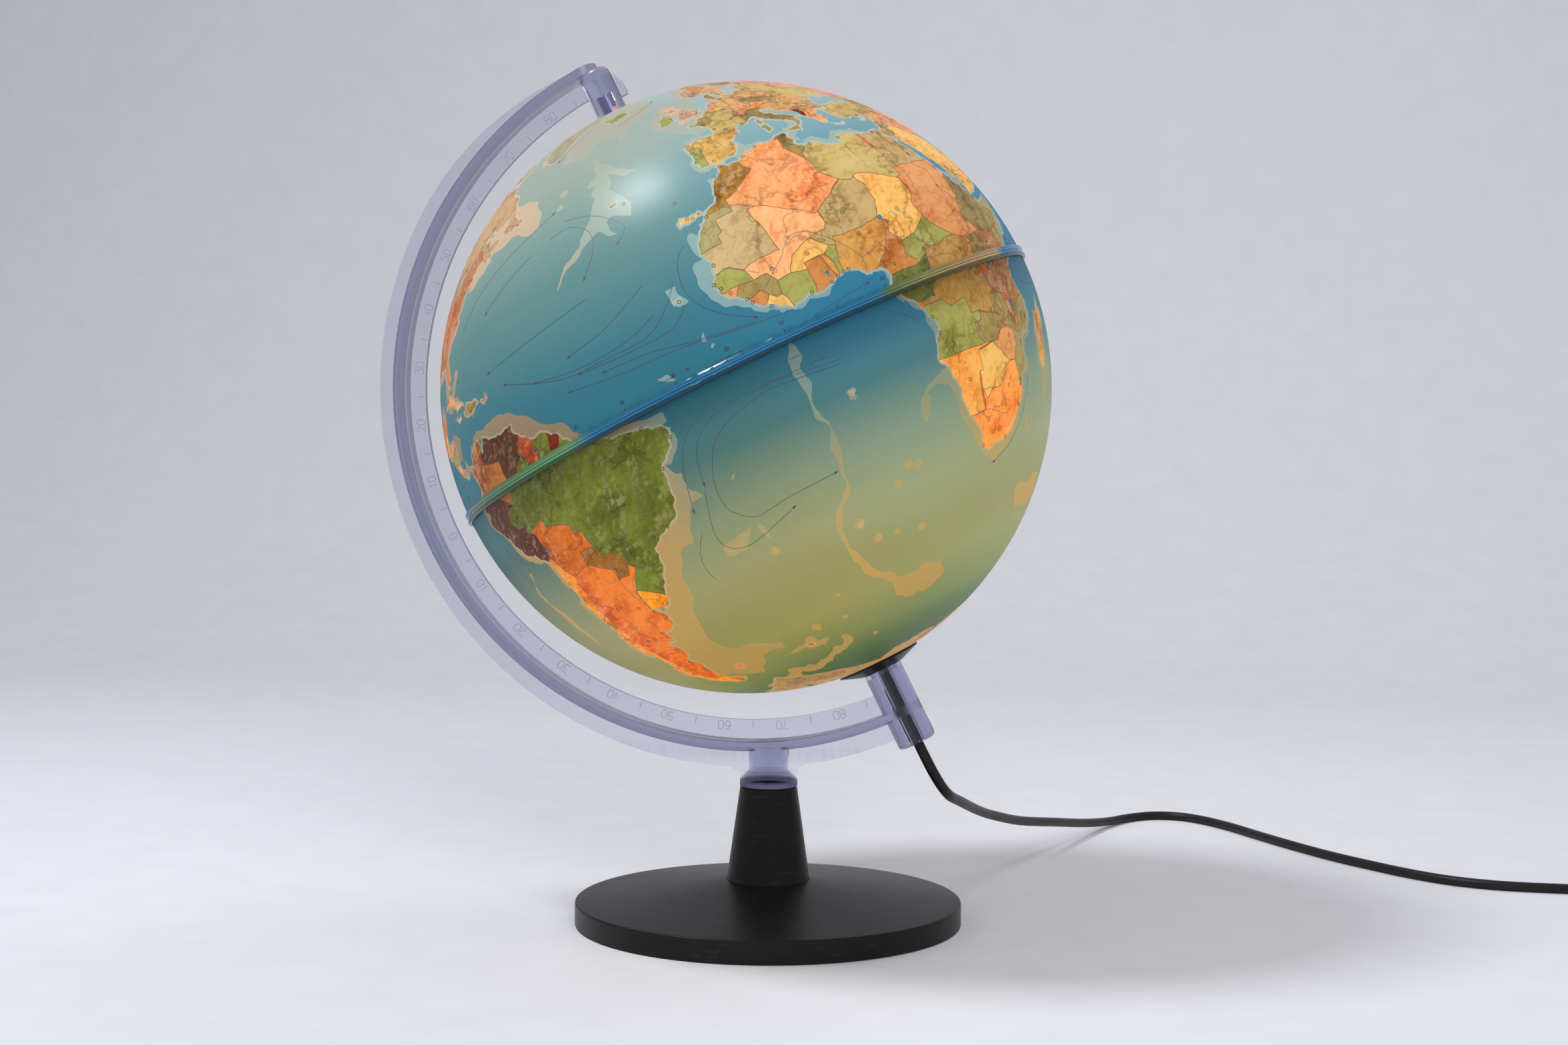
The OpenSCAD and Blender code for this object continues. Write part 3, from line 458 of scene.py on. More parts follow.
# outlines of land: ink, then longitude and latitude pairs in degrees
LAND = {
    "africa": ("orange", """-5.9 35.8 -5.3 35.9 -4.5 35.2 -3 35.3 -1.9 35.1 -.6 35.8 1 36.5 3 36.9
    5 36.8 7.8 36.9 9.5 37.3 11 37.1 10.4 36.2 10.7 35.4 11.1 35.2 10.1 34.2 10.6 33.6 11.3 33.1
    12.5 32.9 13.4 32.9 15.2 32.4 15.6 31.4 17 30.9 18.7 30.4 19.9 30.9 20 32 20.9 32.7 22.5 32.8
    23.2 32.3 25 31.7 27 31.2 29 30.9 30.3 31.5 31.5 31.5 32.5 31.1 32.5 30 33 28.8 33.6 27.8 34.5 26
    35.5 24 35.7 22.8 37 21.5 37.2 20 37.5 18.7 38.6 18 39.5 15.6 41 14.7 42.8 12.7 43.3 11.6 44.5 10.4
    47 11 49 11.3 51.2 11.9 51 10.5 50 8.2 48.5 5.5 46.5 2.8 44 1 42.5 -.5 41 -2 40 -2.7 39.6 -4.5
    38.9 -6.2 39.4 -7 39.5 -8.8 40.4 -10.5 40.7 -12.5 40.7 -15 39.2 -16.9 37 -17.9 34.9 -19.8 35.5 -22
    35.5 -24 33 -25.3 32.8 -27 32.3 -28.8 31 -30 29.5 -31.8 28 -33 25.7 -34 23.5 -34 22 -34.2 20 -34.8
    18.5 -34.2 18.2 -32.7 17 -29.5 15.2 -26.8 14.5 -23 13.4 -20.5 11.8 -17.8 12.2 -15.2 13.5 -12.4
    13.8 -10.5 13 -8.8 12.3 -6.1 11.2 -4 9.5 -2.3 9 -.6 9.6 1 9.8 3 8.8 4.5 7 4.4 6 4.3 5 5.8 3.4 6.4
    1.2 6.1 -.2 5.5 -2 4.8 -4 5.3 -6 4.9 -7.6 4.4 -9.3 5.5 -11.4 6.9 -13.2 8.5 -13.7 9.5 -15 10.9
    -16.8 12.4 -17.4 14.7 -16.4 16 -16.1 18 -16.3 19.5 -17 21 -16 23.7 -14.5 26.1 -13 27.8 -11.2 28.8
    -9.8 29.9 -9.6 31.3 -8.5 33.3 -6.8 34.1"""),
    "eurasia": ("tan", """32.6 31.1 34.3 31.3 35 32.8 35.9 34.5 35.9 36.2 36.2 36.8 34.5 36.7 33.5 36.1
    31.5 36.6 30.5 36.5 29.5 36.2 28 36.8 27.3 37.2 26.4 38.4 26.2 39.5 27.5 40.3 29 40.5 29.2 41.1
    31.5 41.3 33.5 42 35.1 42 36.4 41.3 38.5 41 41.3 41.3 41.5 42.7 39 44 37.2 45 38.2 46.4 39.3 47.1
    36.8 46.7 35 46.2 36.5 45.3 35 44.9 33.6 44.4 32.5 45.4 33.5 46.1 31.5 46.6 30.7 46.5 29.7 45.2
    28.6 44.2 27.8 43 27.9 42 28.2 41.5 29 41.1 27.5 40.9 26.3 40.4 26 40.8 24.2 40.9 23.9 40.1
    22.8 40.5 23 39.4 24 38 23.2 37.3 22.8 36.6 21.7 36.8 21.3 37.8 20.9 38.9 19.5 40.4 19.4 41.6
    18.4 42.5 16.2 43.5 14.9 44.8 13.6 45.1 13.6 45.7 12.3 45.3 12.5 44 13.6 43.6 14.2 42.5 16.1 41.8
    18.5 40.2 17 40.5 17.2 39 16 38 15.7 38 15.9 39.4 15.2 40.1 14 40.9 12.5 41.6 11 42.4 10.3 43.5
    8.9 44.4 7.4 43.7 6 43.1 4.5 43.4 3.2 43 3.2 41.9 .9 40.9 -.3 39.4 .1 38.8 -.7 37.8 -2 36.8
    -4.5 36.7 -5.6 36.1 -6.4 36.8 -7.9 37 -8.9 37 -8.8 38.5 -9.4 38.8 -8.8 40.5 -8.9 42 -9.2 43 -8 43.7
    -4 43.4 -1.7 43.4 -1.2 44.6 -1.1 46 -2.5 47.3 -4.6 48 -4.6 48.6 -2 48.7 -1.7 49.6 .2 49.6 1.6 50.6
    3.5 51.4 4.6 52.8 6 53.4 8.3 53.7 8.5 54.9 8.1 56.5 9 57.2 10.6 57.7 10.2 56 10 54.8 11 54 13.5 54.4
    14.3 53.9 16.5 54.5 18.5 54.7 19.8 54.4 21 55.3 21.1 57 22.6 57.7 24.2 57.1 24.4 58.4 23.5 59.2
    26 59.6 30 59.9 28.5 60.6 25 60.2 22.9 59.9 21.4 61 21.4 62.7 23.5 64 25.4 65.1 22.2 65.8 21 64.5
    17.5 62 17.2 60.7 18.9 59.8 16.5 58 16 56.3 14.3 55.5 12.9 55.6 12 57.5 11.2 59.1 10.5 59.3 8.2 58.1
    5.6 58.8 5 61.5 8.5 63.8 12.5 66 15 68.3 19.5 70 25.7 71.1 31 70.3 41 67.5 40.5 66.3 34 66.7 35 64.5
    38 64 40 64.7 44 66 43.5 68.5 50 68 54 68.5 60 69 67 69.5 67 72 72 73 74 68 77 72 80.5 72.5 87 75
    98 76.3 104 77.7 113 75.5 113 73.7 127 73 131 71 140 72.7 152 71 160 69.7 170 69.5 180 69 190 66.2
    182 64.6 177.5 62.5 170 60 163.5 59.8 163.2 58 162 56 160 53 156.7 51 155.5 55 156.5 58 161 60.5
    164 62.3 155 59.3 149 59.4 142 59.2 135.5 54.8 141 52.5 140.3 48.5 135.5 44 131.5 43 129.7 41.5
    127.5 39.6 129.3 37 129.2 35.3 126.5 34.5 126.6 37 124.7 38.5 125 39.6 121.3 39 121.8 40.8 118.5 39
    118.8 37.6 122.4 37.2 119.5 35.2 121.8 32 121.8 30 120 27 118 24.5 114.3 22.4 110.5 21.2 109.9 20.4
    108.5 21.8 106 19 108.8 15.5 109.3 12.5 107 10.4 105 8.7 105 10.3 102.5 12 100.8 13.4 99.5 11
    100.2 8.5 103 5 103.5 4 104.2 1.4 101.3 2.9 100.3 5.5 98.3 8 98.6 11 97.7 16 95 15.8 94.3 17.5
    92.2 21 91.5 22.7 89 21.8 87 21.2 85 19.5 82.3 16.7 80.2 15.5 80.2 13 79.8 10.3 77.6 8.1 76.3 10
    74.8 13.5 73.3 17 72.8 20 72.5 21.5 70.5 20.8 69 22.3 67.3 24.5 66.5 25.4 61.6 25.2 57.3 25.7
    56.5 27 52.5 27.5 50.7 29.5 48.8 30.4 48 29.9 48.5 28 50.2 26.5 50.8 24.9 51.3 26 51.6 24.4 54 24.2
    56.3 26.1 56.5 24.5 58.7 23.6 59.8 22.5 57.8 19 55 17 52.2 15.6 48.7 14 45 12.8 43.5 12.7 42.8 15.5
    42.6 16.7 40.7 19.8 39 21.7 38.4 23.7 36.8 25.8 35.2 28 34.9 29.4 34.3 27.9 33.2 28.7 32.7 29.9"""),
    "britain": ("blush", """-5.7 50.1 -3.5 50.3 .2 50.8 1.4 51.3 .5 51.6 1.7 52.6 .2 53 -.2 54 -1.6 55.5
    -3 56 -2 57.6 -4 57.7 -3.1 58.6 -5 58.5 -6 57 -5.5 56 -4.8 54.8 -3 54.5 -3 53.4 -4.5 53.2 -4.2 52.4
    -5.2 51.8 -3 51.4 -4.5 51"""),
    "ireland": ("green", """-6.3 52.2 -6 53.5 -5.6 54.6 -7.5 55.3 -8.6 54.3 -10 54.2 -9.2 53 -10.3 52
    -8.5 51.6"""),
    "iceland": ("green", """-22.7 63.9 -19 63.4 -14.9 64.3 -14.7 65.7 -16.2 66.5 -20.3 65.9 -22.5 66.4
    -24.3 65.5 -22 64.6"""),
    "sicily": ("olive", "12.5 38 15.6 38.2 15.1 36.7 12.6 37.5"),
    "sardinia": ("olive", "8.2 40.9 9.6 41.1 9.6 39.2 8.4 39"),
    "corsica": ("olive", "8.6 42.4 9.4 43 9.4 41.5 8.8 41.6"),
    "crete": ("pink", "23.6 35.5 26.3 35.2 25 34.9"),
    "cyprus": ("yellow", "32.3 34.9 34.5 35.7 33.8 34.7"),
    "madagascar": ("saffron", """49.3 -12 50.5 -15.5 49.4 -17.5 48 -21 47.1 -25 45.2 -25.5 43.7 -23.3
    44.4 -20 44 -18 44.5 -16.2 47 -15 48.5 -13.3"""),
    "south_america": ("forest", """-77.4 8.5 -76.7 8 -75.6 10.5 -74.8 11.1 -72 12.2 -71.5 11 -71.9 9.5
    -71 9.8 -70 12.1 -68.3 10.9 -66.2 10.6 -64.2 10.3 -62 10.7 -60.8 9 -60 8.5 -58.5 7.3 -57 6 -54 5.9
    -51.8 4.5 -50 1.8 -50.8 .2 -48.5 -.6 -46.4 -1 -44.4 -2.5 -41.5 -2.9 -38.5 -3.7 -37 -4.9 -35.3 -5.2
    -34.9 -7.5 -35.5 -9.5 -37.2 -11.5 -38.9 -13.2 -39 -16 -39.7 -19.5 -41 -22 -43.2 -23 -45.5 -23.7
    -47.9 -25.2 -48.6 -27.5 -49.8 -29.5 -52.2 -32.2 -53.6 -34.2 -55 -34.9 -57.5 -34.4 -58.4 -34
    -57.3 -35.5 -56.8 -36.5 -57.8 -38.2 -62 -39 -62.2 -40.7 -65 -41 -63.8 -42.6 -65.3 -44.8 -67.3 -45.8
    -65.8 -47.5 -67.6 -49.4 -69 -51 -68.4 -52.6 -67.8 -53.6 -65.3 -54.7 -67.3 -55.6 -71 -54.8 -74 -52.5
    -75 -50 -75.4 -47.5 -73.5 -45 -72.8 -42.2 -73.9 -40 -73.5 -37.2 -71.7 -33.5 -71.5 -30 -70.6 -26
    -70.3 -19.5 -71.5 -17.5 -75.5 -15.2 -77.2 -12 -78.8 -8.5 -81.2 -6 -81.3 -4.5 -79.9 -2.6 -80.9 -1.8
    -80 .5 -78.8 1.6 -77.2 3.8 -77.5 6.5 -77.9 7.4"""),
    "north_america": ("faded", """-77.3 8.6 -79.5 9.5 -81.5 8.8 -83.5 10.8 -83.3 14.8 -84.5 15.8
    -88.5 15.8 -88 18 -87.2 20.5 -88 21.6 -90.4 21 -91.5 18.5 -94.5 18.2 -96.3 19.3 -97.8 22.5 -97.4 26
    -95 29 -91 29.3 -89.3 29.1 -88.5 30.3 -85 29.7 -83.8 30 -82.7 28 -81.7 25.9 -80.2 25.3 -80 27
    -81.4 30.5 -79.5 33 -77 34.6 -75.6 35.4 -76.2 37 -74.2 39.6 -73.9 40.7 -70.2 41.7 -70.8 43
    -68.5 44.3 -66 44.3 -65.7 43.5 -61.5 45.5 -60 46.8 -64.5 46.3 -65 48 -68.5 48.7 -66 50.1 -60 50.2
    -56 52 -57.5 54.5 -61.5 56.5 -64.5 60.2 -69.5 60.8 -71 61.1 -77.7 62.4 -77.3 59 -78.5 57 -76.6 55.5
    -79.5 54.5 -79 52 -82.2 53.1 -82.3 55.2 -87 56 -92.7 57.2 -94.5 59 -94 61.5 -90.5 63.7 -87 65.5
    -85 69.5 -91 69 -96 68 -108 68 -115 68.5 -121 69.7 -128 70.2 -136 69 -145 70 -156.5 71.3 -166 68.5
    -162 66.3 -168 65.6 -161.5 64.3 -165 62 -162 59 -157.3 58.6 -163 55 -158 56.5 -153.5 59 -151.5 61
    -149 60 -141 60 -136.5 58.3 -131 55.2 -128 51 -124 49 -124.4 47.5 -124 43.5 -124.2 40.4 -122.5 37.6
    -120.6 34.6 -117.3 32.8 -115.8 30.2 -114.2 28 -112 25.5 -110 23 -109.6 23.4 -111.4 26.5 -114.7 31.5
    -112.8 31 -109.3 26.5 -106.5 23.5 -105.5 20.5 -102 18 -96.5 15.7 -94.5 16.2 -91.5 14 -87.5 12.9
    -85.8 11 -83.7 8.6 -82.5 8.2 -80.5 7.4 -79.5 8.8 -78 8.3"""),
    "greenland": ("lichen", """-73 78 -66 80.5 -60 82 -45 82.6 -32 83.5 -18 81 -20 76 -22 72 -26 68.5
    -38 65.6 -43 60 -48 61.2 -52.5 65.5 -54 69 -55 72.5 -61 76 -68 76"""),
    "baffin": ("cream", "-80 73.5 -72 71 -62 66.8 -66 62.5 -74 64.5 -73 68 -85 70 -89 73"),
    "victoria": ("cream", "-105 69 -117 71 -110 73 -102 70"),
    "ellesmere": ("cream", "-62 82.5 -75 78.5 -88 76.5 -92 81 -80 83"),
    "newfoundland": ("cream", """-59.3 47.7 -55.8 46.8 -53 46.7 -53.5 48.5 -55.6 49.8 -55.5 51.5
    -57.3 50.6"""),
    "cuba": ("pink", """-84.8 21.9 -82.5 23.1 -79.5 22.8 -75 20.7 -74.2 20.2 -77.5 19.9 -77.8 20.6
    -81.5 22.2"""),
    "hispaniola": ("olive", "-74.4 18.4 -73 19.9 -69.5 19.3 -68.4 18.5 -71 17.8"),
    "jamaica": ("yellow", "-78.3 18.4 -76.3 18.1 -77.5 17.8"),
    "puerto_rico": ("orange", "-67.2 18.4 -65.6 18.3 -66.5 17.9"),
    "trinidad": ("orange", "-61.8 10.7 -60.9 10.8 -61.2 10.1"),
    "falklands": ("orange", "-61 -51.8 -58 -51.4 -59 -52.4"),
    "south_georgia": ("orange", "-38 -54 -36 -54.9 -36.6 -54.2"),
    "canaries": ("yellow", "-17.5 28.9 -16.2 28.5 -14 28.9 -13.6 28.3 -15.5 27.8 -17.9 27.9"),
    "azores": ("olive", "-28.7 38.8 -27 38.9 -27.3 38.4 -28.6 38.3"),
    "cape_verde": ("tan", "-24.4 15.2 -23.2 15.4 -23.5 14.8"),
    "st_helena": ("tan", "-6 -15.8 -5.4 -15.8 -5.7 -16.3"),
    "tristan": ("tan", "-12.6 -36.9 -12 -36.9 -12.3 -37.4"),
    "australia": ("orange", """142.5 -10.8 145.3 -15 146.3 -18.9 150.5 -22.5 153.2 -25.5 153.5 -28.5
    151 -34 150 -37.3 146.3 -39 143.5 -38.8 140.5 -38 138 -35.5 135.5 -34.8 131 -31.5 126 -32.3
    123.5 -34 118 -35 115 -34.3 115.8 -32 113.6 -26 114 -22 117.5 -20.7 122 -18 124.5 -16 127.5 -14
    130.5 -12.5 132.5 -11.3 136.8 -12.2 135.5 -15 139.3 -17.4 141 -17 141.7 -13"""),
    "tasmania": ("orange", "144.7 -40.8 148.3 -41 147 -43.5 145.5 -42.8"),
    "new_zealand_north": ("pink", """173 -34.5 175.5 -36.8 178.4 -37.7 176.9 -40 175 -41.5 173.8 -39.3
    174.8 -37.8"""),
    "new_zealand_south": ("pink", """172.8 -40.6 174.2 -41.5 171 -44.4 169 -46.6 166.6 -45.9 168.5 -44
    171.3 -42.2"""),
    "new_guinea": ("olive", """131 -.8 134 -.8 135 -3.3 141 -2.6 145.8 -5.3 147.8 -6.5 150.5 -10.5
    147 -9.5 143 -8.8 138.5 -8.2 138 -5.5 133.5 -4 132.8 -2.5"""),
    "borneo": ("yellow", """109 1.8 111.5 2.4 114 4.6 117 7 119 5.3 117.7 2 117.5 .5 116 -3.6 114.5 -4
    111.5 -3.3 110 -1.5"""),
    "sumatra": ("pink", """95.3 5.6 98.3 4.3 101.5 1.8 103.8 -1 106 -3.2 105.8 -5.8 102.3 -4 100.3 -.8
    98.8 1.7"""),
    "java": ("pink", "105.3 -6.6 108.5 -6.7 112.7 -6.9 114.4 -8.4 110 -8.1 106.5 -7.4"),
    "sulawesi": ("pink", """119.8 .5 121 1.2 125 1.5 124 .4 120.6 .3 121.5 -.9 123.3 -.9 122 -1.8
    122.8 -4.5 121.5 -4.5 120.9 -2.7 120.4 -5.5 119.5 -5.3 119.4 -3"""),
    "luzon": ("olive", "120.6 18.5 122.2 18.4 121.6 16 124 13 121 13.7 120 15"),
    "mindanao": ("olive", "122 7 125.5 9.7 126.5 7.3 125.4 5.7 124 7"),
    "visayas": ("olive", "122 11.8 125 12.4 124.8 10.3 122.7 9.5"),
    "honshu": ("orange", """130.9 34 132.8 35.6 136.7 37.3 139.5 38.8 141.2 41.4 142 39.5 140.8 36
    138.5 34.7 135.8 33.5 133 34.3"""),
    "hokkaido": ("orange", "140 41.7 141.6 45.4 145.3 43.3 143.2 42.1"),
    "kyushu": ("orange", "130 33.5 131.8 33.2 131 31.3 130 32"),
    "sakhalin": ("cream", "142.2 46.2 142 53.5 143.2 54.2 143.5 49.5 143 47"),
    "taiwan": ("yellow", "121.5 25.2 121.3 23 120.8 22 120.2 23.5"),
    "hainan": ("yellow", "108.7 19.3 110.9 20 110 18.4"),
    "sri_lanka": ("green", "79.8 8 80.3 9.7 81.8 7.5 80.5 6"),
    "novaya_zemlya": ("cream", "51.8 71.5 56 74.5 66 76.8 68 76.3 57.5 71"),
    "svalbard": ("ice", "11 79.5 22 80.4 24 78 16.5 76.7"),
    "antarctica": ("ice", """-66 -65.2 -64 -67.5 -63 -72 -61 -74.5 -75 -75.5 -70 -79 -45 -80 -35 -80
    -27 -78.5 -17 -76.2 -10 -75.9 -5.5 -73.8 1.3 -72.8 12 -72.7 22 -72 33 -71.5 42 -71 50 -68.5 57 -66.8
    70 -68.5 72 -70 78 -68.5 88 -66.6 100 -66 113 -66 130 -66 145 -67 155 -69 165 -71 170 -72 165 -76
    165 -78.3 180 -78.3 190 -78.5 202 -77.8 210 -76.5 222 -75 235 -74 250 -75 258 -73 270 -73 283 -73.2
    290 -70 292 -68 293 -65.8"""),
}

# countries in the order they are laid down: ink, then longitude and latitude pairs;
# a border may run out to sea or under the country laid after it
COUNTRIES = {
    "algeria": ("pink", """-1.8 36 -2.2 35 -1.7 33.3 -1 32.5 -3 31.5 -5.5 29.9 -8.7 28.7 -8.7 27.3
    -4.8 25 1.2 21.1 3.2 19.1 5.7 19.4 12 23.5 9.5 26.3 9.9 28.5 9.5 30.2 8.3 32.5 7.6 33.9 8.3 35.2
    8.6 36.9 8.7 38 -2 38"""),
    "morocco": ("bronze", """-1.8 36.5 -2.2 35 -1.7 33.3 -1.2 32.3 -3.5 31 -5.5 29.9 -8.7 28.7 -8.7 27.7
    -14 27.7 -15 30 -8 36.5"""),
    "western_sahara": ("sage", """-8.7 27.7 -8.7 26 -12 26 -12 23.4 -13 23 -13 21.3 -17.5 21 -18 24
    -14 27.7"""),
    "mauritania": ("cream", """-8.7 27.3 -4.8 25 -6.5 25 -5.5 16.3 -5.3 15.4 -9.5 15.4 -12 14.8 -14 16.5
    -16.6 16.2 -18 17 -17.5 21 -13 21.3 -13 23 -12 23.4 -12 26 -8.7 26"""),
    "mali": ("peach", """-4.8 25 1.2 21.1 3.2 19.1 4.2 19 4.2 16.4 3.5 15.4 .2 15 -2 14.2 -4 13.3
    -5.3 11.2 -5.5 10.4 -8 10.2 -9 12.3 -11.4 12.2 -12 14.8 -9.5 15.4 -5.3 15.4 -6.5 25"""),
    "tunisia": ("olive", "8.5 38 8.3 35.2 7.6 33.8 9 32 9.5 30.2 11.5 32.4 11.5 33.2 12 38"),
    "libya": ("tan", """11.5 33.5 11.5 32.4 10 31.4 9.5 30.2 9.9 28 9.4 26.3 12 23.5 14.2 22.6 16 23.4
    24 19.5 24 20 25 20 25 31.7 25 33.5 18 34"""),
    "egypt": ("straw", "25 33 25 22 36.9 22 38 24 34.9 29.5 34.3 31.5 30 33"),
    "niger": ("straw", """12 23.5 4.2 19.1 4.2 16.4 3.5 15.4 .2 15 2 12.6 3.6 11.7 4 13.5 8 13 12 13.3
    13.6 13.7 15.5 16.5 15.9 20.3 15 23 14.2 22.6"""),
    "chad": ("yellow", """15 23 16 23.4 24 19.5 24 15.7 22.5 13.8 22.8 11 21 9.5 18.5 8 15.5 7.5 14 9.9
    15 12 14 13.1 13.6 13.7 15.5 16.9 15.9 20.4"""),
    "sudan": ("amber", """25 22 25 20 24 20 24 15.7 22.5 13.8 22.8 11 23.7 8.7 27.4 5 30.8 3.6 34 4.2
    35.9 4.7 34 8 34.3 10.6 36.1 12.7 36.5 14.3 37 17 38.5 18 39 21 36.9 22"""),
    "ethiopia": ("olive", """38.5 18 37 17 36.5 14.3 36.1 12.7 34.3 10.6 33 8 35.9 4.7 39.5 3.5 42 4.2
    45 5 48 8 43 9.5 42 11 43.5 12.5 41 15.5"""),
    "somalia": ("sage", "42 11 43 9.5 48 8 45 5 42 4 41 3.5 41 -2 45 -1 53 10 52 13 44 12.5"),
    "kenya": ("sienna", """34 4.2 35.9 4.7 39.5 3.5 41 3.9 41 -.9 41.6 -1.8 39.2 -5 37.6 -3.2 34 -1
    34 .5 35 2"""),
    "uganda": ("olive", "31 3.7 34 4.2 35 1.5 34 0 34 -1 29.6 -1.4 29.9 .6 31.2 2.2"),
    "tanzania": ("sienna", """30.8 -1 34 -1 37.6 -3.2 39.2 -4.7 41 -8 40.5 -10.5 36 -11.6 34.6 -11.5
    34 -9.5 31 -8.4 29.5 -6.5 30 -4.4 30.8 -3"""),
    "central_africa": ("green", """15.5 7.5 18.5 8 21 9.5 22.8 11 23.7 8.7 27.4 5 24.5 5 22.5 4.1 19.4 5
    18.6 3.5 16.1 2.2 16.1 3 14.5 5"""),
    "cameroon": ("caramel", """14 13 15 12 14 9.9 15.5 7.5 14.5 5 16.1 3 16.1 2.2 13.3 2.2 9.8 2.2 8.5 4
    9 5 11 6.6 12 8 13.8 11"""),
    "nigeria": ("saffron", """3.6 11.7 4 13.5 8 13 12 13.3 13.6 13.7 14 13 13.8 11 12 8 11 6.6 9 5 8.5 4
    6 3.5 2.7 6 2.7 9"""),
    "benin": ("green", "2.7 6 2.7 9 3.6 11.7 2.4 12.3 1 11 1.6 9 1.6 5.8"),
    "togo": ("saffron", "1.2 5.8 .6 7 .2 11 .9 11 1.6 9 1.7 5.8"),
    "ghana": ("caramel", "-3.1 4.5 -2.8 7.5 -2.8 9.7 -2.9 11 0 11.1 .5 8.5 1.2 6 0 4.5"),
    "burkina": ("yellow", "-5.5 10.4 -5.3 11.2 -4 13.3 -2 14.2 .2 15 2.4 12.3 .9 11 -2.9 11 -2.8 9.7"),
    "ivory_coast": ("green", "-7.5 4 -8.4 7.5 -8 10.2 -5.5 10.4 -2.8 9.7 -2.8 7.5 -3.1 4.5"),
    "liberia": ("yellow", "-11.5 6.9 -10.3 8.5 -9.4 7.5 -8.4 7.5 -7.5 4.2 -9.5 4.5"),
    "sierra_leone": ("caramel", "-13.5 9 -11.2 10 -10.3 8.5 -11.5 6.9 -13.5 7.8"),
    "guinea": ("olive", """-15 10.9 -13.7 12.6 -11.4 12.2 -9 12.3 -8 10.2 -8.4 7.5 -9.4 7.5 -10.3 8.5
    -11.2 10 -13.5 9 -15.5 10"""),
    "bissau": ("amber", "-16.8 12.4 -13.7 12.6 -15 10.9 -16.8 11"),
    "senegal": ("green", "-18 14.5 -16.6 16.2 -14 16.5 -12 14.8 -11.4 12.2 -13.7 12.6 -16.8 12.4"),
    "gabon": ("deep_green", "8.5 2.2 11.3 2.2 13.3 2.2 14.4 -1.5 11.8 -3.8 11 -4 8.5 -1"),
    "congo": ("deep_green", """13.3 2.2 16.1 2.2 18.6 3.5 18 1 17.7 -.5 16.2 -2.5 15.2 -4.4 12.3 -5
    11 -4 11.8 -3.8 14.4 -1.5"""),
    "zaire": ("ochre", """12.3 -5 13 -5.9 16.5 -5.9 17.8 -8 21.8 -7.3 22 -11 24 -11 27 -12 29.8 -13.4
    29.8 -12 28.4 -12 28.7 -8.5 30.8 -8.3 29.5 -6.5 29.3 -3.5 29.6 -1.4 29.9 .6 31.2 2.2 30.8 3.6 27.4 5
    24.5 5 22.5 4.1 19.4 5 18.6 3.5 18 1 17.7 -.5 16.2 -2.5 15.2 -4.4"""),
    "angola": ("green", """12.3 -6 16.5 -5.9 17.8 -8 21.8 -7.3 22 -11 24 -11 24 -13 22 -13 22 -16.2
    23.3 -17.6 18.5 -17.4 14 -17.4 11.5 -17.2 11 -10"""),
    "zambia": ("olive", """22 -13 24 -13 24 -11 29.8 -13.4 28.4 -12 28.7 -8.5 31 -8.4 33 -9.4 33 -14
    30.2 -15 28.9 -16 26.5 -18 23.3 -17.6 22 -16.2"""),
    "malawi": ("amber", "33 -9.4 34.5 -11.5 35.8 -16 35.2 -17 34.5 -14.5 33 -14"),
    "mozambique": ("olive", """34.6 -11.5 40.5 -10.5 42 -15 36 -19 36 -24 33 -27 32.1 -26.9 31.9 -24.5
    31.3 -22.4 32.9 -20 32.9 -17 30.4 -16 30.2 -15 33 -14 34.5 -14.5 35.2 -17 35.8 -16"""),
    "zimbabwe": ("amber", """25.3 -17.8 27 -17.9 28.9 -16 30.4 -16 32.9 -17 32.9 -20 31.3 -22.4
    29.4 -22.2 27.7 -20.5"""),
    "botswana": ("yellow", """21 -18.3 25.3 -17.8 27.7 -20.5 29.4 -22.2 26.8 -24.2 25.5 -25.7 22.8 -25.5
    20.7 -26.9 20 -24.8 20 -22 21 -22"""),
    "namibia": ("apricot", """11.5 -17.2 14 -17.4 18.5 -17.4 23.3 -17.6 25 -17.7 21 -18.3 21 -22 20 -22
    20 -28.4 17.4 -28.7 16.4 -28.6 14 -28 11.5 -20"""),
    "south_africa": ("flame", """16.4 -28.6 17.4 -28.7 20 -28.4 20 -24.8 20.7 -26.9 22.8 -25.5
    25.5 -25.7 26.8 -24.2 29.4 -22.2 31.3 -22.4 31.9 -24.5 32.1 -26.9 33.5 -27 30 -34 18 -36 15 -30"""),
    "argentina": ("orange", """-66 -22 -64.5 -22.5 -62.5 -22.3 -60 -24 -57.6 -25.4 -58.6 -27.2 -56 -27.3
    -54.6 -25.5 -53.8 -26.6 -57.5 -30.2 -58.2 -33 -58.3 -34.2 -55 -36 -55 -42 -62 -50 -66 -53 -63 -55
    -68.6 -54.9 -68.6 -52.6 -70 -52 -72 -51.8 -73 -50 -72.3 -48 -71.7 -44 -71.5 -40 -70.5 -36.5
    -69.8 -33.5 -70 -30 -68.3 -27 -68.4 -24.5 -67.2 -23"""),
    "chile": ("gold", """-71.5 -17.5 -69.7 -17.6 -68.8 -20 -68.2 -22 -67.2 -23 -68.4 -24.5 -68.3 -27
    -70 -30 -69.8 -33.5 -70.5 -36.5 -71.5 -40 -71.7 -44 -72.3 -48 -73 -50 -72 -51.8 -70 -52 -68.6 -52.6
    -68.6 -56 -77 -54 -77 -40 -72 -17"""),
    "peru": ("brown", """-82 -3.5 -80.3 -3.4 -78.6 -4.8 -75.2 -.1 -70 -2.6 -70 -4.3 -73 -5 -73.9 -7.3
    -72.5 -9.5 -70.6 -9.5 -70.6 -11 -69 -12.5 -69 -16 -69.6 -17.5 -71.5 -18.5 -78 -16 -84 -6"""),
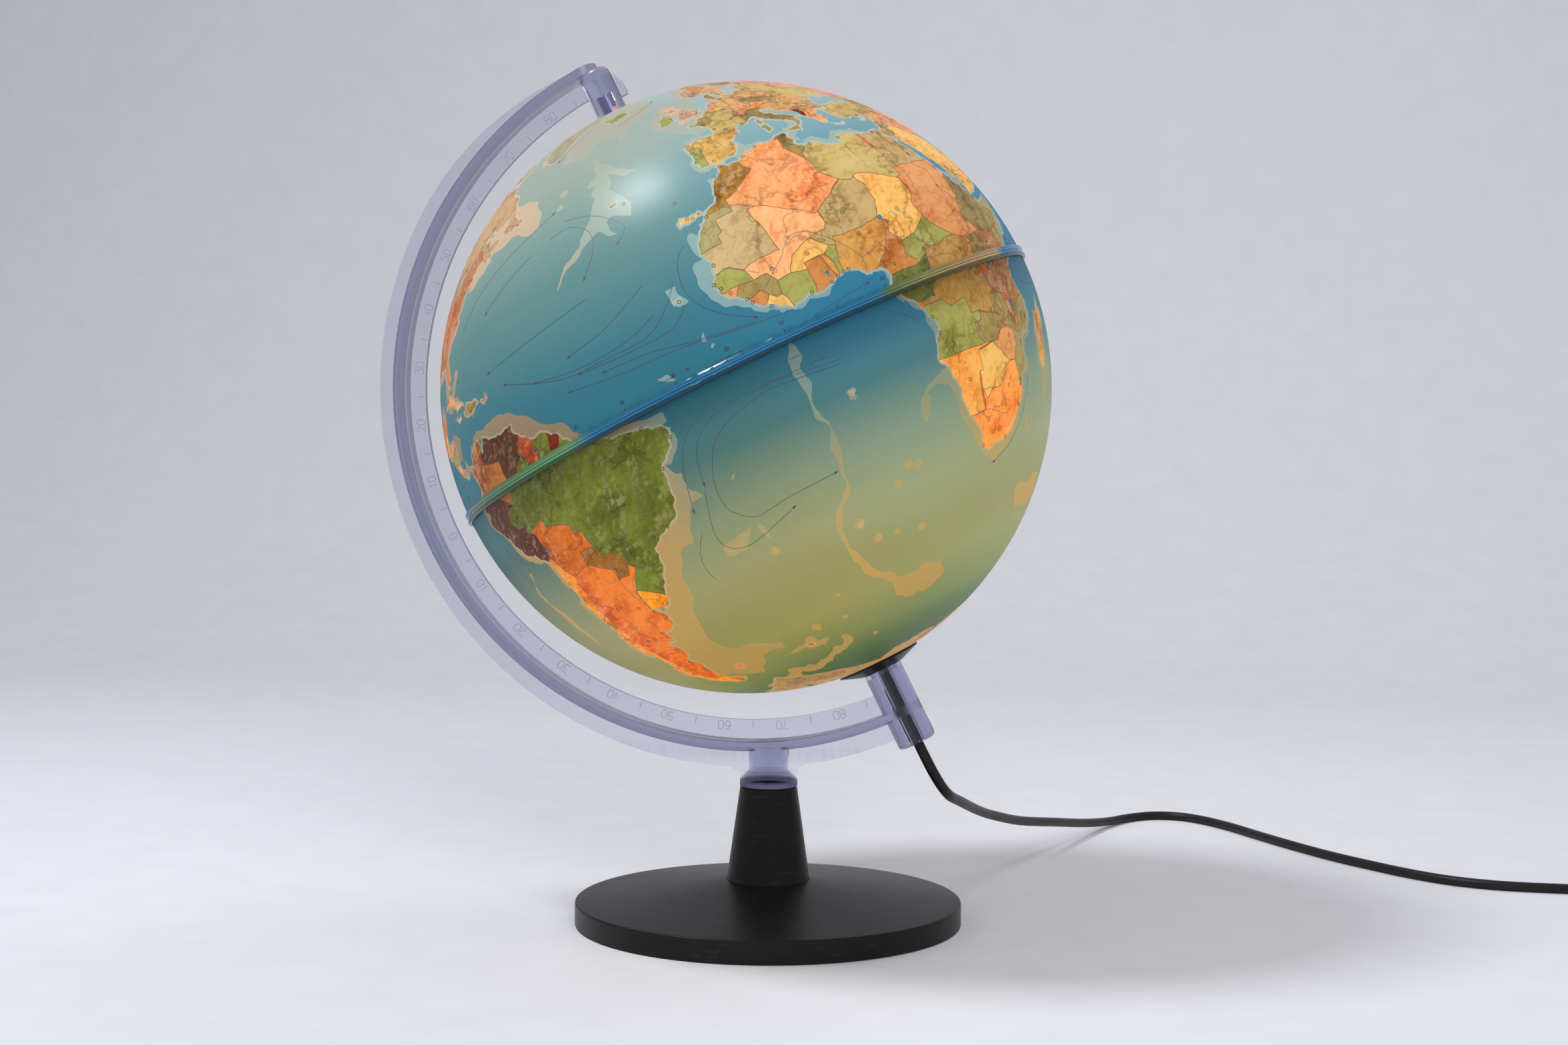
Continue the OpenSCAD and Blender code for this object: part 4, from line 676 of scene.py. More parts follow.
    "bolivia": ("burnt", """-69.5 -11 -68.6 -11.1 -65.4 -9.8 -65.3 -12 -60.2 -13.8 -60.2 -16.2
    -58.3 -16.3 -58.2 -19.8 -61.7 -19.6 -62.5 -22.3 -64.5 -22.5 -67.2 -23 -68.2 -22 -68.8 -20
    -69.5 -17.5 -69 -16 -69 -12.5"""),
    "paraguay": ("khaki", """-62.5 -22.3 -61.7 -19.6 -58.2 -19.8 -57.9 -22 -55.8 -22.3 -54.3 -24
    -54.6 -25.5 -56 -27.3 -58.6 -27.2 -57.6 -25.4 -60 -24"""),
    "uruguay": ("gold", "-57.5 -30.2 -55.8 -31 -53.4 -32.6 -52.5 -33.5 -54 -36 -58.4 -34.5 -58.2 -33"),
    "colombia": ("mustard", """-77.4 8.4 -77.5 6.5 -79.5 3 -78.9 1.5 -77 .7 -75.2 -.1 -72 -2.3 -70 -4.3
    -69.4 -1.1 -69.9 1.7 -67.2 1.3 -67.5 6.2 -72.1 7.2 -72.6 9.3 -71.3 11.8 -72 13 -77 11"""),
    "venezuela": ("dun", """-71.3 11.8 -72.6 9.3 -72.1 7.2 -67.5 6.2 -67.2 1.3 -64 2 -62.8 3.7 -60.8 4.8
    -61.4 6 -60 8.3 -60 11.5 -70 13.5"""),
    "guyana": ("brick", "-60 8.6 -61.4 6 -60.8 4.8 -59.6 1.8 -57 2 -57.8 5 -57 6.5 -58 8.5"),
    "suriname": ("forest", "-57 6.3 -57.8 5 -57 2 -54.5 2.3 -54 4 -54 6.3"),
    "french_guiana": ("red", "-54 6.3 -54 4 -54.5 2.3 -52.5 2.3 -51.5 4.4 -52 6"),
    "ecuador": ("red", "-79 1.7 -77 .7 -75.2 -.1 -78.6 -4.8 -80.3 -3.4 -82 -3.4 -82 1"),
    "spain": ("wheat", """-9.5 43.8 -9.3 41.9 -6.5 41.9 -7 39.7 -7.3 37.1 -6 35.8 4.6 39 3.3 42.4
    .7 42.7 -1.8 43.4"""),
    "portugal": ("green", "-8.9 42.1 -6.4 41.9 -6.9 39.8 -7.4 37 -9.3 36.6 -10 39"),
    "france": ("tan", """-1.8 43.3 .7 42.7 3.3 42.4 7.6 43.7 7 45.9 6.2 46.4 7.5 47.6 8.2 49 4.2 49.9
    2.5 51.1 -2 50 -5.5 48.5"""),
    "switzerland": ("rose", "6.2 46.3 7 45.9 9 45.9 10.4 46.6 9.6 47.5 7.5 47.6"),
    "belgium": ("yellow", "2.5 51.1 4.2 49.9 6.1 49.5 6 51 4 51.5"),
    "netherlands": ("rose", "3.5 51.4 6 51 7 53.4 5 53.5"),
    "germany": ("biscuit", """6.1 49.5 8.2 49 7.5 47.6 9.6 47.5 13 47.6 12.3 50.2 14.8 51 14.3 53.9
    11 54.6 9.5 54.9 8 54 7 53.4 6 51"""),
    "denmark": ("olive", "8 54.9 9.5 54.9 13 54.6 13 56 10.8 58 8 57"),
    "norway": ("blush", """4.5 59 7 57.8 11.3 58.9 12.3 61 12.2 63.5 14 65 18 68.4 20.5 69 25.7 69.1
    29 69.8 31 70 28 71.5 14 69 8 64.5"""),
    "sweden": ("biscuit", """11.3 58.9 12.3 61 12.2 63.5 14 65 18 68.4 20.5 69 23.8 66 22 65 18 62
    19.5 59.8 17 55.5 13 55.2"""),
    "finland": ("olive", """20.5 69 25.7 69.7 29 69.8 30 67 31.5 62.9 28 60.5 22 59.6 21 62 25 65
    23.8 66"""),
    "poland": ("biscuit", "14.3 53.9 14.8 51 18.8 49.5 22.6 49.1 24 51 23.5 53.9 19.5 54.4 16 54.6"),
    "czechs": ("olive", "12.3 50.2 14.8 51 18.8 49.5 22.6 49.1 22.2 48.4 17 48 13.8 48.8"),
    "austria": ("pink", "9.6 47.5 13 47.6 13.8 48.8 17 48 16.1 46.9 13.7 46.5 10.4 46.8"),
    "hungary": ("tan", "16.1 46.9 17 48 22.2 48.4 22.9 48 21 46.1 18.9 45.9"),
    "italy": ("olive", """7 43.7 7 45.9 9 45.9 10.4 46.6 13.7 46.5 13.7 45.5 13 44.5 19 40.4 16.5 37.5
    12 40.5"""),
    "yugoslavia": ("biscuit", """13.7 45.5 13.7 46.5 16.1 46.9 18.9 45.9 21 46.1 22.5 44.3 22.9 42
    21 40.9 19.4 42 15 43.5"""),
    "albania": ("red", "19.2 42.4 20.5 42.2 21 40.9 20.3 39.5 19 40"),
    "greece": ("pink", "20 39.5 21 40.9 23 41.3 26.4 41.4 26 40.5 24.5 38 23.5 36.2 21 36.5"),
    "bulgaria": ("straw", "22.5 44.3 22.9 42 23 41.3 26.4 41.8 28.3 42 28.6 43.7 25.5 43.6"),
    "romania": ("biscuit", "21 46.1 22.9 48 26.6 48.3 28.2 45.5 30 45.2 28.6 43.7 25.5 43.6 22.5 44.3"),
    "russia": ("rose", """28 60.5 31.5 62.9 30 67 29 69.8 33 70.5 60 78 110 80 185 72 190 63 165 49
    141 45 131 42 130.6 42.4 131 45 135 48.4 127.5 49.8 120 53.2 116 49.8 98 50 88 49.2 80 51 71 54.2
    61 53.9 51 51.6 47 50 47.5 48 49 46.5 47.5 42 44 42.2 40 43.4 37 45 38 47 40 49.6 35.5 50.4 31 52
    31 55.5 28 56.5 28 59.2"""),
    "turkey": ("tan", """26 39.5 26 40.7 26.4 41.8 28.3 42 32 42.4 41.5 41.6 43.5 41.1 44.7 39.7
    44.8 37.2 42.4 37.2 38 36.8 36.5 36.3 36 35.8 30 35.8 26.8 36.6"""),
    "syria": ("biscuit", "35.7 35.9 36.7 36.8 42.4 37.2 41 34.4 38.8 33.4 36.8 32.4 35.8 33 35.5 34.8"),
    "israel": ("rose", "34 31.2 34.9 29.4 35.5 31.5 35.8 33.1 35 33.2"),
    "jordan": ("green", """34.9 29.3 36.1 29.2 37.5 30.2 37 31.5 39 32.1 38.8 33.4 36.8 32.4 35.6 32.6
    35.5 31.5"""),
    "iraq": ("rose", """42.4 37.2 44.8 37.2 46 35.8 45.5 34 48 31 48.5 29.8 46.5 29.1 44.7 29.2 42 31.1
    39 32.1 38.8 33.4 41 34.4"""),
    "saudi": ("yellow", """34.9 29.4 36.1 29.2 37.5 30.2 37 31.5 39 32.1 42 31.1 44.7 29.2 46.5 29.1
    48.5 28.5 50 27 51.2 24.6 52.6 22.9 55.2 22.7 55 20 52 19 49 18.6 47 17 43.4 17.4 42.7 16.4 40 19
    37 25"""),
    "yemen": ("yellow", "42.7 16.4 43.4 17.4 47 17 49 18.6 52 19 53 16.6 50 13 43 12"),
    "oman": ("rose", "52 19 55 20 55.2 22.7 56.3 24.6 59.9 22.6 58 18 53 16.6"),
    "emirates": ("green", "51.6 24 52.6 22.9 55.2 22.7 56.3 24.6 56.2 26.4 54 25"),
    "iran": ("pink", """44.8 39.7 44.8 37.2 46 35.8 45.5 34 48 31 48.5 29.8 52 26.5 57 25 61.6 25
    63.2 27.2 61 29.8 60.6 34 61.2 36.5 57 38.2 54 37.3 50 37.3 48.8 38.4 46 38.8"""),
    "caucasus": ("olive", "41.5 41.6 44.7 39.7 46 38.8 48.8 38.4 50 40.3 47.5 42 44 42.2 40 43.4"),
    "turkestan": ("yellow", """49 46.5 47.5 48 47 50 51 51.6 61 53.9 71 54.2 80 51 88 49.2 82.5 45.3
    80 42 73.8 39.5 71 37 66.5 37.3 61.2 36.5 57 38.2 54 37.3 53 40 51 44.5"""),
    "afghanistan": ("olive", """61.2 35.6 66.5 37.3 71 37 74.5 37.2 71.2 34.4 69.3 31.9 66.3 29.8
    61 29.8 60.6 34"""),
    "pakistan": ("green", """61.6 24.6 63.2 27.2 61 29.8 66.3 29.8 69.3 31.9 71.2 34.4 74.5 37.2 76.5 35
    74.5 31 70 27.8 71 24.4 67 23"""),
    "nepal": ("olive", "80.2 28.7 81.5 30.3 88.1 27.9 88.1 26.4"),
    "mongolia": ("olive", "88 49.2 98 50 116 49.8 119.7 46.7 111.8 43.7 105 41.6 97 42.7 91 45.1"),
    "china": ("yellow", """73.8 39.5 80 42 82.5 45.3 88 49.2 91 45.1 97 42.7 105 41.6 111.8 43.7
    119.7 46.7 116 49.8 120 53.2 127.5 49.8 135 48.4 131 45 130.6 42.4 124.4 40 122 39 124 32 119 23.5
    112 20 108 21.5 105.3 23.3 101.2 21.2 98.8 24.1 97.5 28.2 92 27.9 88.1 27.9 81.5 30.3 78.8 32.5
    76.5 35 74.5 37.2"""),
    "korea": ("rose", "124.4 40 130.6 42.4 131 40 130 35 126 33.8"),
    "burma": ("olive", "92.3 20.8 94.6 25 97.5 28.2 98.8 24.1 101.2 21.2 98 18 99 10 93 16"),
    "siam": ("pink", "98 18 101.2 21.2 100.5 19.5 105 17 105.5 14.5 102.5 12 101 6 98 7 99 12"),
    "indochina": ("green", """101.2 21.2 105.3 23.3 108.3 21.4 110 14 107 8 104 8.5 102.5 12 105.5 14.5
    105 17 100.5 19.5"""),
    "malaya": ("rose", "100 6.6 102.3 6.3 104.5 2 103.5 1.2 101 2.8"),
    "mexico": ("orange", """-118 32.5 -114.8 32.6 -111 31.3 -106.5 31.8 -104.5 29.6 -101.5 29.8 -97 25.9
    -90 22 -86 21.5 -88.3 18.3 -91 17.8 -92.3 14.3 -98 14.5 -108 20 -118 28"""),
    "guatemala": ("yellow", "-92.3 14.3 -91 17.8 -88.3 18.3 -88.5 15.9 -90 13.5"),
    "honduras": ("rose", "-89.5 14.2 -88.5 15.9 -83 15 -86 13.6 -88 13"),
    "nicaragua": ("green", "-83 15 -86 13.6 -88 13 -85.7 11 -83.5 10.8"),
    "costa_rica": ("pink", "-85.9 11.2 -83.5 10.9 -82.6 9.5 -83 8"),
    "canada": ("faded", """-125 48.4 -95 49 -89 48 -84.5 46.5 -82.5 45.3 -82.5 42 -79 43 -76 44.5
    -74.7 45 -71.4 45.2 -69 47.3 -67.5 45 -60 43 -50 47 -55 58 -75 66 -90 75 -141 71 -141 60.3 -135 59
    -130 55.5"""),
    "usa": ("dusty", """-126 48.4 -95 49 -89 48 -84.5 46.5 -82.5 45.3 -82.5 42 -79 43 -76 44.5 -74.7 45
    -71.4 45.2 -69 47.3 -67 44.8 -68 40 -75 32 -79 24.5 -83 24.5 -90 28 -97 25.9 -101.5 29.8 -104.5 29.6
    -106.5 31.8 -111 31.3 -114.8 32.6 -118 32.5 -126 40"""),
    "alaska": ("dusty", "-141 71 -141 60.3 -135 59 -130 55.5 -134 54 -170 52 -172 66 -155 73"),
    "papua": ("green", "141 -2 141 -9.8 151 -11 150 -5"),
}

# pale shallow sea away from the coast. Some 200 of these places, and most of those in BANKS,
# CURRENTS and DRIFTS, were worked out by a separate script from points picked by eye.
SHALLOWS = [
    # mid-ocean ridges
    """-29.7 53.4 -28.3 51 -27.7 49.8 -24.5 46.2 -21.4 44.5 -20.5 43.4 -21.9 43.9 -23.7 43.4 -25.5 45.2
    -26.9 46.3 -26.6 44.1 -27.7 42.5 -26.3 40.7 -25 38.7 -24.3 36.9 -25.2 34.4 -28.7 36.5 -30.2 36
    -30 34 -28.3 32.4 -30.7 33 -32.1 35 -34.1 34.2 -36.2 33.4 -37.9 31.8 -40.2 31.2 -41.9 29.3
    -43.1 28.1 -42.3 29.6 -40.6 32.2 -39 32.6 -37.7 33.6 -36.7 33.9 -35 36.5 -33.3 37.9 -31.1 42.1
    -32 43 -29.4 45 -32.5 45.1 -32.2 46.2 -29.5 47.2 -30 51""",
    """-11.6 -.8 -11.6 -8.5 -11.4 -11.9 -11.9 -16.6 -11.1 -18.9 -10.8 -22.1 -11.6 -26.8 -12.1 -31.8
    -14.6 -33.3 -16 -37 -16.1 -40 -13.9 -42.9 -11.3 -46.3 -6.5 -49.2 -2.5 -49.4 .7 -48.6 6.4 -49.5
    8.5 -52.5 5.1 -54.1 -.1 -54.3 -4.8 -54.3 -8.2 -52.6 -8.7 -49.5 -12.5 -47.1 -16.3 -42.2 -16.9 -36.2
    -15.7 -33.1 -12.3 -30.3 -12.2 -25.4 -12.6 -23.7 -11.2 -20.4 -13 -17.1 -12.6 -12.4 -13 -9.4
    -12.3 -3.1""",
    # shelves and banks of the Atlantic
    """-41 57.2 -39.1 57.8 -41.2 64.6 -40.2 67.2 -32.9 69.9 -21.8 68.5 -11 71 -6.4 70.4 -5.1 66
    -7.9 60.9 -13.1 58.3 -18 56.5 -21.4 52.8 -21.7 56.6 -23.3 56.3 -28.3 57.6 -32.2 53.8 -34.2 54.3
    -33.7 55.2 -37.2 55.6""",
    "-60 52 -47 50 -45 46 -46 43 -50 43 -55 45 -66 43 -66 47", "-25 18 -23 18 -22 14 -24 14",
    "-22 8 -22 6 -23 6", "-22 5 -21 5 -22 4", "-32 4 -30 4 -29 2 -31 3",
    "-17 26 -18 25 -17 20 -19 20 -19.5 15 -17.5 10 -14 8 -12 14",
    "9 0 9.5 -3 12 -7 12.4 -12 11.5 -17 14 -17 16 -7 11 0",
    """9.8 -19.8 7.8 -20.3 5.5 -22.4 5.3 -26.3 5.9 -26.2 7.2 -24.4 7.8 -22.3 7.1 -21.5 10 -20.9 11.8 -22
    13 -20""",
    "11 -19 13 -24 14 -29 18 -35 22 -37 28 -35 32 -30 28 -32 20 -33 16 -20",
    "-29.3 -29.1 -28.4 -30.3 -28.7 -33 -29.5 -30.8", "37 -47 33 -43 50 -42 56 -47",
    "34 -28 36 -35 35 -35", "45 -14 51 -28 44 -31 42 -24",
    "-72 14 -63 14 -55 9 -50 6 -47 1 -40 -1.4 -34 -2.4 -34 -5 -50 -3 -70 9",
    """-33.8 -6 -36 -10 -37.7 -13 -36.9 -15.3 -36 -15.2 -36.5 -16.7 -36.4 -18.9 -35.1 -20.2 -34.6 -21.1
    -37 -21.1 -39 -23.7 -41 -27.5 -43.8 -27.5 -46.7 -31 -49.7 -36.4 -53.5 -41 -55 -45 -52 -48 -46 -49.2
    -42 -50.5 -43 -52.3 -50 -51.6 -57 -56 -74 -50 -66 -40 -58 -33 -50 -28 -42 -20 -38 -8""",
    "-36.9 -29.9 -33.8 -29.8 -30.4 -29.1 -31.3 -30.2 -33.1 -32.2 -36.4 -32.4 -37.2 -31",
    "-29.6 -20.4 -28.3 -19.6 -29 -21",
    # far south
    """-46.3 -54.1 -41.7 -53.8 -38.3 -53.8 -35.8 -52.2 -34.3 -52.9 -34.5 -54.2 -31 -55.2 -33.6 -56.4
    -38 -55.9 -39.5 -54.5""",
    """-67 -62.5 -60 -60.4 -53 -58.6 -50 -58.7 -47.8 -60.3 -45.3 -59.6 -44 -61.5 -40 -60.3 -35 -59.4
    -31.8 -58 -30 -59 -28 -57.6 -28 -55.8 -25.7 -56.6 -25 -58 -26 -59.6 -30.5 -60.7 -34.7 -60.9
    -41.7 -63.1 -48.2 -63.5 -51 -61.3 -56 -64 -60 -63.6 -66 -65""",
    # elsewhere
    "-80 -18 -83 -25 -81 -28 -82 -34 -84 -37 -84 -36 -84 -31 -83 -27 -84 -23 -79 -18.5",
    "1 52 3 57 6 59 -3 60 -10 57 -13 53 -8 48 -5 45 2 45", "4.5 62 9 68 20 72 45 74 70 74 70 60 4.5 60",
    "-80 33 -74 38 -68 40.5 -62 43 -66 47 -85 33",
    "-98 28 -90 28 -84 28 -84 23 -81 24 -79 27 -84 31 -98 31", "-92 22.5 -87 23.5 -86 20 -92 18",
    "-83 17 -79 15 -81 11 -84 11", "-80 22 -75 27 -77 27 -79 25",
    "100 8 106 10 110 6 117 -5 106 -5 100 0", "122 32 120 26 112 20 118 40 127 40",
    "130 -14 141 -12 143 -9 135 -5 130 -9", "128 -14 116 -19 118 -23 130 -18",
    "48 30 52 28 56 26 55 24 50 25", "70 24 71 18 76 8 74 8 71 14 67 22",
]

# small banks: lon, lat, size in degrees
BANKS = [
    (-5.5, -15.7, 0.6), (0, -31.4, 0.8), (1.9, -31.9, 0.8), (-2.9, -33.7, 0.7), (-12.4, -36.7, 0.7),
    (-9.6, -40.3, 0.7), (-5.3, -40.8, 0.45), (0.6, -42, 0.7), (-22.5, -46.8, 0.4), (-23.6, -51.8, 0.5),
    (-29.1, -34.7, 0.7), (-31.8, -51.1, 0.9), (-17.1, -60.1, 0.5), (-38.7, 47.5, 0.8),
    (-39.9, 44.5, 0.6),
]

# lakes: longitude and latitude pairs
LAKES = [
    "32 .3 34 .2 33.8 -1.5 32.5 -2.7 31.7 -1", "29.3 -3.6 29.9 -6 30.9 -8.6 30.2 -7 29.5 -5",
    "34.1 -9.6 35 -12 35 -14.2 34.3 -12", "13.4 13.4 14.3 14 14.6 13.1 13.8 12.7",
    "-.2 6.6 .2 8 -.6 7.8", "-70.1 -15.4 -68.8 -16.3 -69.2 -16.6",
    "47 44.7 51 47 53 46.5 51 44.5 53 42 53.8 40 54 37 51.5 36.6 49 37.6 49.5 40.3 47.6 43",
    "58.5 44 59.5 46.5 61.5 46.5 60.5 44", "104 51.6 108 53.2 109.8 55.6 108.6 54 105.8 51.8",
    "31 60 32.8 60.4 32.5 61.4 30.5 61", "-92 46.8 -88 48.8 -84.6 46.6 -88 46.5",
    "-87.5 42 -86.3 42 -85 45.5 -87 45.5", "-84 45.8 -80.5 45.6 -81.7 43.2 -83.7 43.8",
    "-83 41.8 -79 42.9 -80 42.2 -82.5 41.5", "-79.7 43.4 -76.3 44 -76.6 43.4",
    "-99 50.5 -96.5 50.8 -97.5 53.5 -99 53.3", "-115 61 -110 62.5 -112 61.2", "-125 66 -120 66 -121 65",
    "12.5 58.5 14 59.3 13.5 58.4", "35.8 3.2 36.4 4.5 36 4.5",
]

# rivers from the mouth up
RIVERS = [
    """31.2 31 31 30 31 28 32.6 26 33 24 31 21.5 33.5 19.5 32.5 16 32.6 14 31.5 10 30.6 7 31.7 4 31 2
    32.8 .5""",
    "32.5 15.6 34 13 35.5 11.8 37.5 12",
    "6 4.6 6.7 7.5 4.7 11.5 3.5 13 .3 16.5 -3 16.8 -5.5 14 -8 12 -10.5 9.8", "6.7 7.5 9 8 12 9",
    "12.5 -6 15.5 -4 17.5 -1 18.5 1.8 22 2.2 25 .8 25.8 -3 26.5 -7 25.8 -11", "18 .5 18.5 4.2 22.5 4.2",
    "36 -18.7 32 -16 29 -15.8 26 -17.9 23.5 -16.5 22.5 -12.5",
    "16.6 -28.6 20 -28.5 23 -29.3 26 -30.5 28.5 -29.5", "33.5 -25 31.8 -22.5 28.5 -22.4 26 -24",
    "-16.3 15.9 -14.5 16.6 -12.3 14.8 -10 13", "42.6 -.3 43.5 3 44 7.5",
    "-50.5 -.2 -53 -2 -57 -2.6 -61 -3.4 -65 -3 -69 -3.6 -73.5 -3.9 -75.5 -9",
    "-60 -3.1 -63.5 -1.5 -67 1.5", "-58.5 -3.3 -62.5 -7 -65 -11", "-54.5 -2.4 -57 -6 -58 -10 -56 -13",
    "-52 -1.7 -52.5 -5 -52 -10 -54 -13", "-48.5 -1.5 -49.5 -5 -48.3 -9 -50 -13 -51.5 -16",
    "-37 -10.5 -40 -9 -43.5 -12 -45 -17 -46 -20",
    "-58.4 -34 -59 -31 -58.8 -27.3 -54.6 -25.5 -51.5 -20.5 -48 -18.5",
    "-58.8 -27.3 -57.7 -23 -57.7 -18", "-58.2 -33.5 -57.8 -30 -55 -27.5 -51 -27.5",
    "-61.5 9 -64 8 -67 6.5 -67.5 3.5 -65 2.5", "-74.8 11 -74.5 7 -76.5 2.5",
    "-62.4 -40.8 -67 -39.2 -70 -38", "-65 -43.3 -70 -42.5",
    "29.5 45.2 27.5 44.2 23 43.8 20.5 44.8 18.9 46.5 16.5 48.2 12 48.8",
    "4.3 52 7 50.8 8.3 49 7.6 47.6", "4.8 43.5 4.8 45.7 6 46.2", "-2 47.2 1 47.4 3 46.5",
    "-8.7 38.9 -4 39.8 -1.8 40.5", "12.5 45 9 45.1 7.2 45", "48 46 45 48.6 49 53 48 55.8 40 57",
    "32.5 46.6 34.5 48.4 31 50.4 32 54", "48.5 30 45 33 41 35 38.5 37.5", "44.5 33.3 43 36.5 41 37.8",
    "67.5 24 71 29 73.5 33.5 77 34.5", "90 23.5 84 25.7 78 29", "91 24 95 27.5 88 29.3",
    "105.5 10 105 15 101 19 99 26", "121.5 31.5 113 30 106 29.5 99.5 27",
    "118.8 37.7 110.5 35 109 40 104 37.5 98 35", "-90 29.5 -91 33 -89.5 37 -91 41 -94 46",
    "-89.5 37 -96 42 -104 47.8 -111 47", "-69 48.5 -75 45.5 -79 43.5", "-114.7 32 -114.5 35 -110 38",
    "-124 46.2 -119 46 -118 49", "-97 26 -103 29.5 -106.5 32 -106 36", "-135 69 -128 65 -121 61.5",
    "72 66.5 66 61 73 56 84 50", "83 71 88 66 92 58", "127 72 125 64 118 60 108 55",
    "141 -36 144 -35 148 -31",
]

# mountain chains: reach either side in degrees, then the crest
MOUNTAINS = [
    (2.2, """-72 10 -74.5 6 -76 2 -78.5 -1 -78 -5 -76.5 -10 -73 -14 -69 -17 -67.5 -22 -68.5 -28 -70 -33
    -71 -39 -72.3 -46 -72.5 -51"""),
    (1.6, "-9 30.5 -5 32.3 -1 34 4 35.6 9 36"), (2.4, "38 13.5 38.5 10 38 7 41 9"),
    (2.6, "4 22.5 7 24.5 9 25.5"), (2.0, "16 20 18.5 21.5"), (2.6, "-42 -10 -43 -15 -44 -20 -47 -23"),
    (2.4, "-47 -14 -51 -16 -54 -15"), (2.2, "-52 -24 -50 -27"), (2.0, "-65 5 -60 4 -56 2"),
    (1.8, "10 6 13 8 14.5 11"), (2.0, "36.5 1 35.5 -4 34.5 -9 35 -13"), (1.8, "29.5 2 29 -3"),
    (1.8, "29.5 -29 27.5 -31 22 -32"), (2.0, "14 -13 15 -19 17 -24"), (1.6, "46.5 -15 47.5 -21"),
    (2.0, "24 13 25 11"), (1.4, "7 44.5 7.5 46 11 46.8 14.5 46.6"), (1.1, "-1.5 43 1 42.6 2.5 42.4"),
    (1.2, "8.5 44.4 12 43.5 15.5 40.5"), (1.2, "-6 40.3 -3.5 37.2"), (1.6, "16 44.5 20 42.5 22 39.5"),
    (1.3, "19 49.3 24.5 47.8 25.5 45.5"), (1.6, "7 60 10 62 15 66 19 68.5"),
    (2.4, "30 37.2 36 38.5 42 39.5 45 37 50 33 54 29"), (1.6, "40 43.6 46 42.3"),
    (1.8, "59 52 59.5 60 64 67"), (1.8, "44 15 43 18 40 21.5"),
    (2.6, "70 35 75 35.5 80 31.5 86 28.5 92 28.5 97 29"), (3.4, "75 38 82 36.5 90 36 97 37"),
    (2.2, "72 41 80 42.5 88 43.5"), (2.6, "88 49.5 96 51 104 52.5 112 54"),
    (2.4, "-124 60 -119 53 -114 48 -110 43 -106 38 -105 33"), (1.8, "-122 49 -121 42 -119 37"),
    (2.0, "-106 28 -103 23 -99 19"), (1.6, "-84 35 -79 39 -73 43"), (2.2, "-152 62 -146 61 -138 60"),
    (2.2, "148 -36 150 -31 149 -25"), (1.8, "102 -1.5 99 2"), (2.0, "138 -4 145 -6"),
    (2.6, "120 64 130 62 140 65"), (1.6, "74.5 18 76 12"),
]

